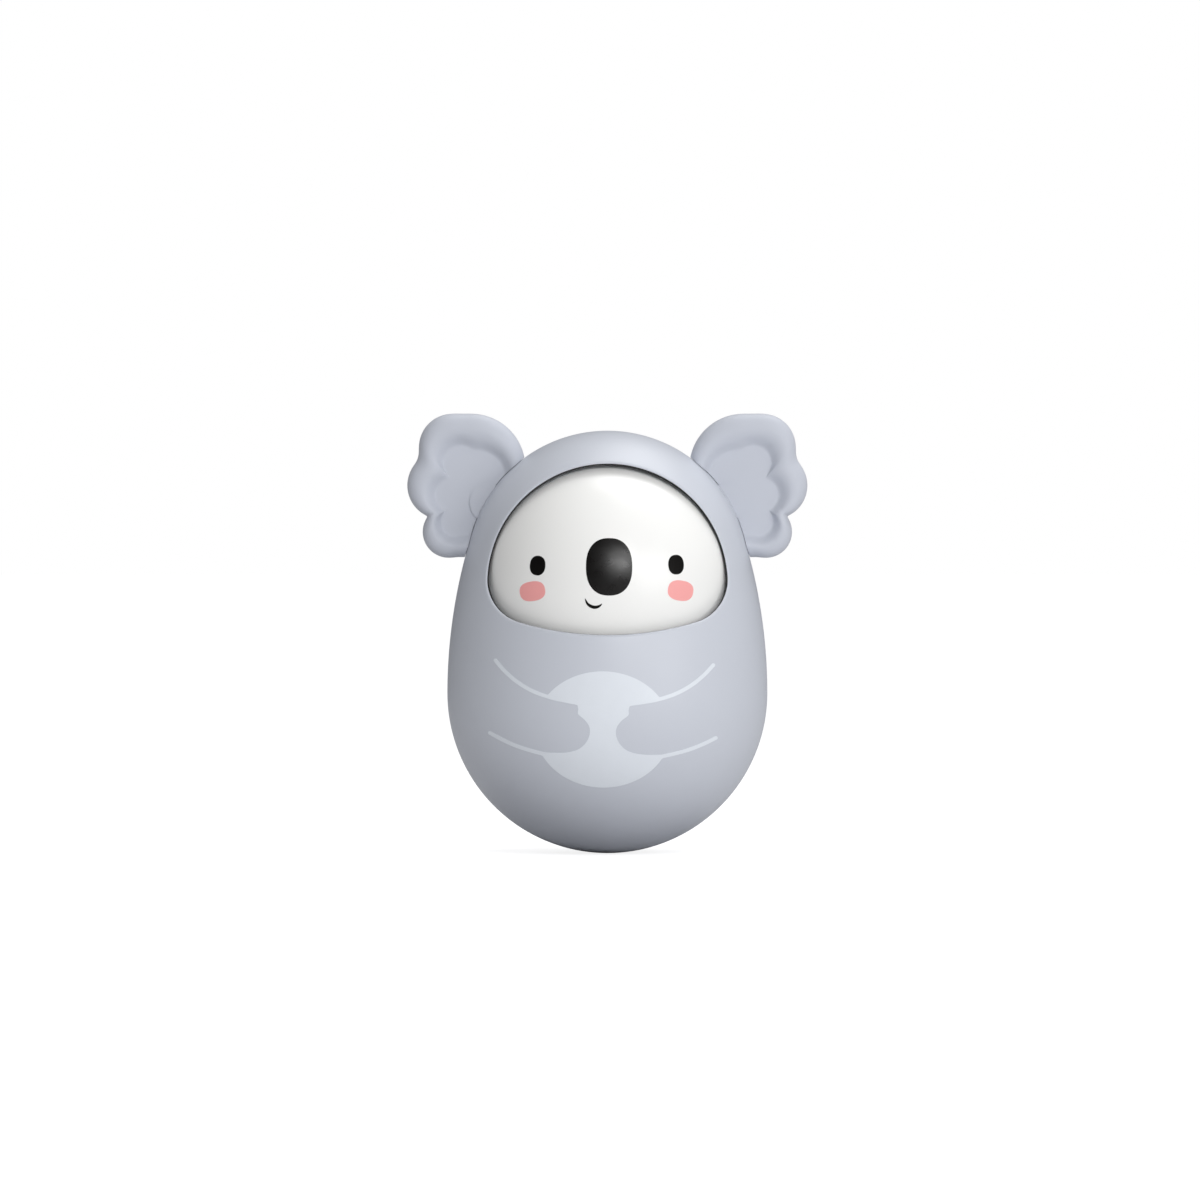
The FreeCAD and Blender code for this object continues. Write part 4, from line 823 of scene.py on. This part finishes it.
def oval_stations(oval, front):
    """A thin film of ink on the surface, from its middle to its edge and back inside the plastic."""
    x, z, half_width, half_height, squareness, tilt = oval
    lift = sizes().print_lift

    def row(share, depth):
        def station(turn):
            across, up = superellipse(turn, half_width, half_height, squareness, tilt)
            place_x, place_z = (x + across * share) * MM, (z + up * share) * MM
            return Vector((place_x, front(place_x, place_z) + depth, place_z))
        return station

    shares = [step / OVAL_ROWS for step in range(OVAL_ROWS + 1)]
    return [row(share, -lift) for share in shares] + [row(share, INK_BODY) for share in reversed(shares)]


def smooth(points, steps=8):
    """A smooth line through a few points, by Catmull and Rom's rule."""
    line = []
    for number in range(len(points) - 1):
        before = points[max(number - 1, 0)]
        start, end = points[number], points[number + 1]
        after = points[min(number + 2, len(points) - 1)]
        for step in range(steps):
            share = step / steps
            line.append(tuple(
                0.5 * (2 * b + (c - a) * share + (2 * a - 5 * b + 4 * c - d) * share**2
                       + (3 * b - a - 3 * c + d) * share**3)
                for a, b, c, d in zip(before, start, end, after)))
    return line + [points[-1]]


def offset(line, amount):
    """The line moved sideways, to its left for a positive amount."""
    moved = []
    for number, (x, z) in enumerate(line):
        before, after = line[max(number - 1, 0)], line[min(number + 1, len(line) - 1)]
        along = math.hypot(after[0] - before[0], after[1] - before[1])
        moved.append((
            x - (after[1] - before[1]) / along * amount, z + (after[0] - before[0]) / along * amount))
    return moved


def make_smile():
    """A thin crescent, thickest in the middle and pointed at its ends."""
    lift = sizes().print_lift
    line = smooth(SMILE, SMILE_STEPS)
    columns = len(line) - 1
    upper, lower = offset(line, 1.0), offset(line, -1.0)

    def edge(side, half, depth):
        def station(turn):
            number = round(turn * columns)
            thick = half * math.sin(math.pi * turn) ** SMILE_POWER + SMILE_TIP
            x = line[number][0] + (side[number][0] - line[number][0]) * thick
            z = line[number][1] + (side[number][1] - line[number][1]) * thick
            return Vector((x * MM, ball_front(x * MM, z * MM) + depth, z * MM))
        return station

    stations = [edge(upper, SMILE_ABOVE, -lift), edge(lower, SMILE_BELOW, -lift),
                edge(lower, SMILE_BELOW, INK_BODY), edge(upper, SMILE_ABOVE, INK_BODY)]
    smile = loft("smile_print", stations + stations[:1], columns)
    return place(smile, bpy.data.materials["dark_pad_ink"], "head", "face_white")


def make_face_prints():
    inks = {"dark": "dark_pad_ink", "nose": "nose_pad_ink", "cheek": "cheek_pad_ink"}
    for name, ink, oval in FACE_PRINTS:
        film = loft(f"{name}_print", oval_stations(oval, ball_front), OVAL_COLUMNS)
        place(film, bpy.data.materials[inks[ink]], "head", "face_white")
    make_smile()


# ---------------------------------------------------------------------------------------------
# The printed tummy and arms
# ---------------------------------------------------------------------------------------------

# All in millimetres from the middle of the tummy, outwards and up, for one side.
TUMMY_MIDDLE = (-1.4, 40.1)
TUMMY_HALF = (20.9, 18.0)
TUMMY_TILT = -1.2
UPPER_ARM = ((33.6, 20.3), (30.5, 17.0), (26.6, 13.9), (22.0, 11.4), (16.9, 9.7), (11.9, 8.7), (8.6, 8.2))
HAND = ((8.0, 7.4), (7.75, 6.2), (7.8, 4.9), (7.1, 4.1), (5.6, 2.9), (4.2, 0.8), (4.1, -1.7),
        (5.3, -4.3), (7.6, -6.3), (11.0, -7.3), (15.0, -7.55), (18.1, -7.4))
LOWER_ARM = ((18.1, -8.0), (21.7, -7.2), (26.4, -5.9), (31.0, -4.1), (34.9, -2.2))
# How far out the arms' upper and lower lines meet the tummy.
UPPER_MEETS, LOWER_MEETS = 17.0, 18.6
# The parts of the tummy's own edge that show: from and to, in degrees, and the steps between.
TOP_ARC = (90, 35, 20)
BOTTOM_ARC = (-29, -90, 22)
PRINT_CELL = 2.4


def round_end(line, amount, steps=8):
    """The half circle that ends a printed line at its last point, from its left side to its right."""
    (x, z), (before_x, before_z) = line[-1], line[-2]
    heading = math.atan2(z - before_z, x - before_x)
    return [
        (x + amount * math.cos(heading + math.pi / 2 - math.pi * step / steps),
         z + amount * math.sin(heading + math.pi / 2 - math.pi * step / steps))
        for step in range(1, steps)
    ]


def tummy_side():
    """One side of the print's outline, from the top of the tummy to its bottom."""
    half = sizes().line_width / MM / 2
    width, height = TUMMY_HALF

    def arc(start, end, steps):
        angles = [math.radians(start + (end - start) * step / steps) for step in range(steps + 1)]
        return [(width * math.cos(angle), height * math.sin(angle)) for angle in angles]

    outwards = smooth(UPPER_ARM[::-1])
    upper = [point for point in offset(outwards, half) if point[0] > UPPER_MEETS]
    line = arc(*TOP_ARC)
    line += upper + round_end(outwards, half) + offset(outwards, -half)[::-1]
    line += smooth(HAND)[:-1]
    lower = smooth(LOWER_ARM)
    line += offset(lower, half) + round_end(lower, half)
    line += [point for point in offset(lower, -half)[::-1] if point[0] > LOWER_MEETS]
    return line + arc(*BOTTOM_ARC)


def tummy_outline():
    """The whole outline, mirrored, tilted a little and put in its place, in metres."""
    side = tummy_side()
    whole = side + [(-x, z) for x, z in side[-2:0:-1]]
    lean = math.radians(TUMMY_TILT)
    return [
        ((TUMMY_MIDDLE[0] + x * math.cos(lean) - z * math.sin(lean)) * MM,
         (TUMMY_MIDDLE[1] + x * math.sin(lean) + z * math.cos(lean)) * MM)
        for x, z in whole
    ]


def make_tummy_print():
    """A filled outline, cut into cells and laid on the front of the egg."""
    outline = tummy_outline()
    curve = bpy.data.curves.new("tummy_print", "CURVE")
    curve.dimensions = "2D"
    curve.fill_mode = "BOTH"
    spline = curve.splines.new("POLY")
    spline.points.add(len(outline) - 1)
    spline.use_cyclic_u = True
    for point, (x, z) in zip(spline.points, outline):
        point.co = (x, z, 0, 1)
    film = bpy.data.objects.new("tummy_print", curve)
    bpy.context.scene.collection.objects.link(film)
    activate(film)
    bpy.ops.object.convert(target="MESH")
    film = bpy.context.object
    bpy.ops.object.mode_set(mode="EDIT")
    lows = [min(point[axis] for point in outline) for axis in range(2)]
    highs = [max(point[axis] for point in outline) for axis in range(2)]
    for axis in range(2):
        normal = [0, 0, 0]
        normal[axis] = 1
        cells = math.ceil((highs[axis] - lows[axis]) / (PRINT_CELL * MM))
        for cell in range(1, cells):
            spot = [0, 0, 0]
            spot[axis] = lows[axis] + cell * PRINT_CELL * MM
            bpy.ops.mesh.select_all(action="SELECT")
            bpy.ops.mesh.bisect(plane_co=spot, plane_no=normal)
    bpy.ops.mesh.select_all(action="SELECT")
    bpy.ops.mesh.remove_doubles(threshold=MERGE_DISTANCE)
    bpy.ops.object.mode_set(mode="OBJECT")
    egg = Egg(-sizes().print_lift)
    for vertex in film.data.vertices:
        x, z = vertex.co.x, vertex.co.y
        vertex.co = (x, -egg.depth(x, z), z)
    thickness = film.modifiers.new("film", "SOLIDIFY")
    thickness.thickness = INK_BODY
    thickness.offset = -1
    bpy.ops.object.modifier_apply(modifier=thickness.name)
    finish_mesh(film)
    return place(film, bpy.data.materials["tummy_pad_ink"], "root", "body_grey")


# ---------------------------------------------------------------------------------------------
# The stage
# ---------------------------------------------------------------------------------------------

# The middle of the picture at the toy and its width there, and how the camera looks at it.
PICTURE_MIDDLE = (-2.3 * MM, 0.0, 79.1 * MM)
PICTURE_WIDTH = 375 * MM
CAMERA_LENS = 250
CAMERA_RISE = 1.0
CAMERA_END = 100
SENSOR = 36
FLOOR_WIDTH = 12
# The floor's grey and glow as the camera sees it, and its grey to all other light.
FLOOR_SEEN = (0.40, 0.40, 0.41, 1)
FLOOR_GLOW = 0.84
FLOOR_PLAIN = (0.60, 0.60, 0.61, 1)


def make_floor():
    """A pale floor that runs out of sight, white to the camera but for the toy's shadow."""
    deselect()
    bpy.ops.mesh.primitive_plane_add(size=FLOOR_WIDTH, location=(0, 0, 0))
    floor = bpy.context.object
    floor.name = "floor"
    material = bpy.data.materials.new("pale_floor")
    material.use_nodes = True
    material.node_tree.nodes.clear()
    shadow = add_node(material, "ShaderNodeBsdfDiffuse", {"Color": FLOOR_SEEN})
    glow = add_node(material, "ShaderNodeEmission", {"Color": (1, 1, 1, 1), "Strength": FLOOR_GLOW})
    seen = add_node(material, "ShaderNodeAddShader", {0: shadow.outputs[0], 1: glow.outputs[0]})
    plain = add_node(material, "ShaderNodeBsdfDiffuse", {"Color": FLOOR_PLAIN})
    path = add_node(material, "ShaderNodeLightPath")
    chosen = add_node(
        material, "ShaderNodeMixShader",
        {"Fac": path.outputs["Is Camera Ray"], 1: plain.outputs[0], 2: seen.outputs[0]})
    add_node(material, "ShaderNodeOutputMaterial", {"Surface": chosen.outputs[0]})
    floor.data.materials.append(material)


# The room is darker in reflections than it lights the toy, so black ink stays black.
WORLD_LIGHT = 0.44
WORLD_REFLECTION = 0.09


def make_world():
    """Soft light from all round, white where the camera looks past the floor."""
    world = bpy.data.worlds.new("studio")
    bpy.context.scene.world = world
    world.use_nodes = True
    background = world.node_tree.nodes["Background"]
    background.inputs["Color"].default_value = (1, 1, 1, 1)
    path = add_node(world, "ShaderNodeLightPath")
    lit = add_node(
        world, "ShaderNodeMapRange",
        {"Value": path.outputs["Is Glossy Ray"], "To Min": WORLD_LIGHT, "To Max": WORLD_REFLECTION})
    seen = add_node(
        world, "ShaderNodeMath", {0: path.outputs["Is Camera Ray"], 1: lit.outputs["Result"]},
        operation="MAXIMUM")
    link(world, seen.outputs[0], background, "Strength")


# Each softbox: place and width in metres, power in watts.
SOFTBOXES = (
    ("key_softbox", (0.88, -0.98, 0.28), 0.75, 5.4),
    ("front_softbox", (0.28, -1.25, 0.58), 0.36, 6.2),
    ("top_softbox", (0.22, 0.25, 0.95), 0.60, 4.3),
)


def make_lights():
    for name, spot, width, power in SOFTBOXES:
        lamp = bpy.data.lights.new(name, "AREA")
        lamp.shape = "SQUARE"
        lamp.size = width
        lamp.energy = power
        holder = bpy.data.objects.new(name, lamp)
        bpy.context.scene.collection.objects.link(holder)
        holder.location = spot
        aim = Vector((0, 0, HEIGHT / 2)) - Vector(spot)
        holder.rotation_euler = aim.to_track_quat("-Z", "Y").to_euler()


def make_camera():
    camera = bpy.data.cameras.new("camera")
    camera.lens = CAMERA_LENS
    camera.sensor_width = SENSOR
    distance = PICTURE_WIDTH * CAMERA_LENS / SENSOR
    holder = bpy.data.objects.new("camera", camera)
    bpy.context.scene.collection.objects.link(holder)
    rise = math.radians(CAMERA_RISE)
    back = Vector((0, -math.cos(rise), math.sin(rise)))
    holder.location = Vector(PICTURE_MIDDLE) + back * distance
    holder.rotation_euler = (-back).to_track_quat("-Z", "Y").to_euler()
    camera.clip_end = CAMERA_END
    bpy.context.scene.camera = holder


# ---------------------------------------------------------------------------------------------
# The operators and the panel
# ---------------------------------------------------------------------------------------------


class TOY_OT_materials(bpy.types.Operator):
    """Make the plastics, inks and metals and finish the inner parts with them"""

    bl_idname = "toy.materials"
    bl_label = "Materials"

    def execute(self, context):
        ink = colours()
        satin_abs()
        soft_touch_tpe()
        pad_ink("dark_pad_ink", ink.dark, 0.45, shine=0.15)
        pad_ink("nose_pad_ink", ink.dark, 0.26, wave=0.45, depth=0.03, shine=0.35)
        pad_ink("cheek_pad_ink", ink.cheek, 0.40)
        pad_ink("tummy_pad_ink", ink.tummy, 0.28)
        finishes = {
            "body_grey": bpy.data.materials["satin_moulded_abs"],
            "ear_grey": bpy.data.materials["soft_touch_tpe"],
            "face_white": white_abs(), "inner_plastic": inner_abs(), "iron": cast_iron(),
            "steel": zinc_steel(), "bell_brass": spun_brass(), "washer_rubber": washer_rubber(),
        }
        for row in frame["record"]["subparts"]:
            node = frame["nodes"][row["node"]]
            node.data.materials.clear()
            node.data.materials.append(finishes[row["material_slot"]])
        return {"FINISHED"}


class TOY_OT_shells(bpy.types.Operator):
    """Mould the front and rear shells, with a dark ring of painted shade inside the lip"""

    bl_idname = "toy.shells"
    bl_label = "Shells"

    def execute(self, context):
        make_shell("front_casing", front_stations, "front_shell")
        make_shell("rear_casing", rear_stations, "rear_shell")
        make_painted_shade()
        return {"FINISHED"}


class TOY_OT_ears(bpy.types.Operator):
    """Mould the two soft ears"""

    bl_idname = "toy.ears"
    bl_label = "Ears"

    def execute(self, context):
        for side, sign in SIDES.items():
            make_ear(side, sign)
        return {"FINISHED"}


class TOY_OT_head(bpy.types.Operator):
    """Mould the face half of the ball and print the face on it"""

    bl_idname = "toy.head"
    bl_label = "Head"

    def execute(self, context):
        make_head()
        make_face_prints()
        return {"FINISHED"}


class TOY_OT_tummy(bpy.types.Operator):
    """Print the tummy and the arms on the front shell"""

    bl_idname = "toy.tummy"
    bl_label = "Tummy print"

    def execute(self, context):
        make_tummy_print()
        return {"FINISHED"}


class TOY_OT_stage(bpy.types.Operator):
    """Set up the floor, the lights and the camera"""

    bl_idname = "toy.stage"
    bl_label = "Stage"

    def execute(self, context):
        make_floor()
        make_world()
        make_lights()
        make_camera()
        context.scene.view_settings.view_transform = "Standard"
        return {"FINISHED"}


STEPS = (TOY_OT_materials, TOY_OT_shells, TOY_OT_ears, TOY_OT_head, TOY_OT_tummy, TOY_OT_stage)


class TOY_PT_panel(bpy.types.Panel):
    """Lists the toy's pieces in the sidebar"""

    bl_label = "Roly Poly Toy"
    bl_idname = "TOY_PT_panel"
    bl_space_type = "VIEW_3D"
    bl_region_type = "UI"
    bl_category = "Toy"

    def draw(self, context):
        for step in STEPS:
            self.layout.operator(step.bl_idname)
        for group in (context.scene.toy_sizes, context.scene.toy_colours):
            for name in group.__annotations__:
                self.layout.prop(group, name)


CLASSES = (ToySizes, ToyColours, *STEPS, TOY_PT_panel)


def register():
    for cls in CLASSES:
        bpy.utils.register_class(cls)
    bpy.types.Scene.toy_sizes = bpy.props.PointerProperty(type=ToySizes)
    bpy.types.Scene.toy_colours = bpy.props.PointerProperty(type=ToyColours)


def unregister():
    del bpy.types.Scene.toy_colours
    del bpy.types.Scene.toy_sizes
    for cls in reversed(CLASSES):
        bpy.utils.unregister_class(cls)


def main():
    register()
    for step in STEPS:
        group, name = step.bl_idname.split(".")
        getattr(getattr(bpy.ops, group), name)()


if __name__ == "__main__":
    main()
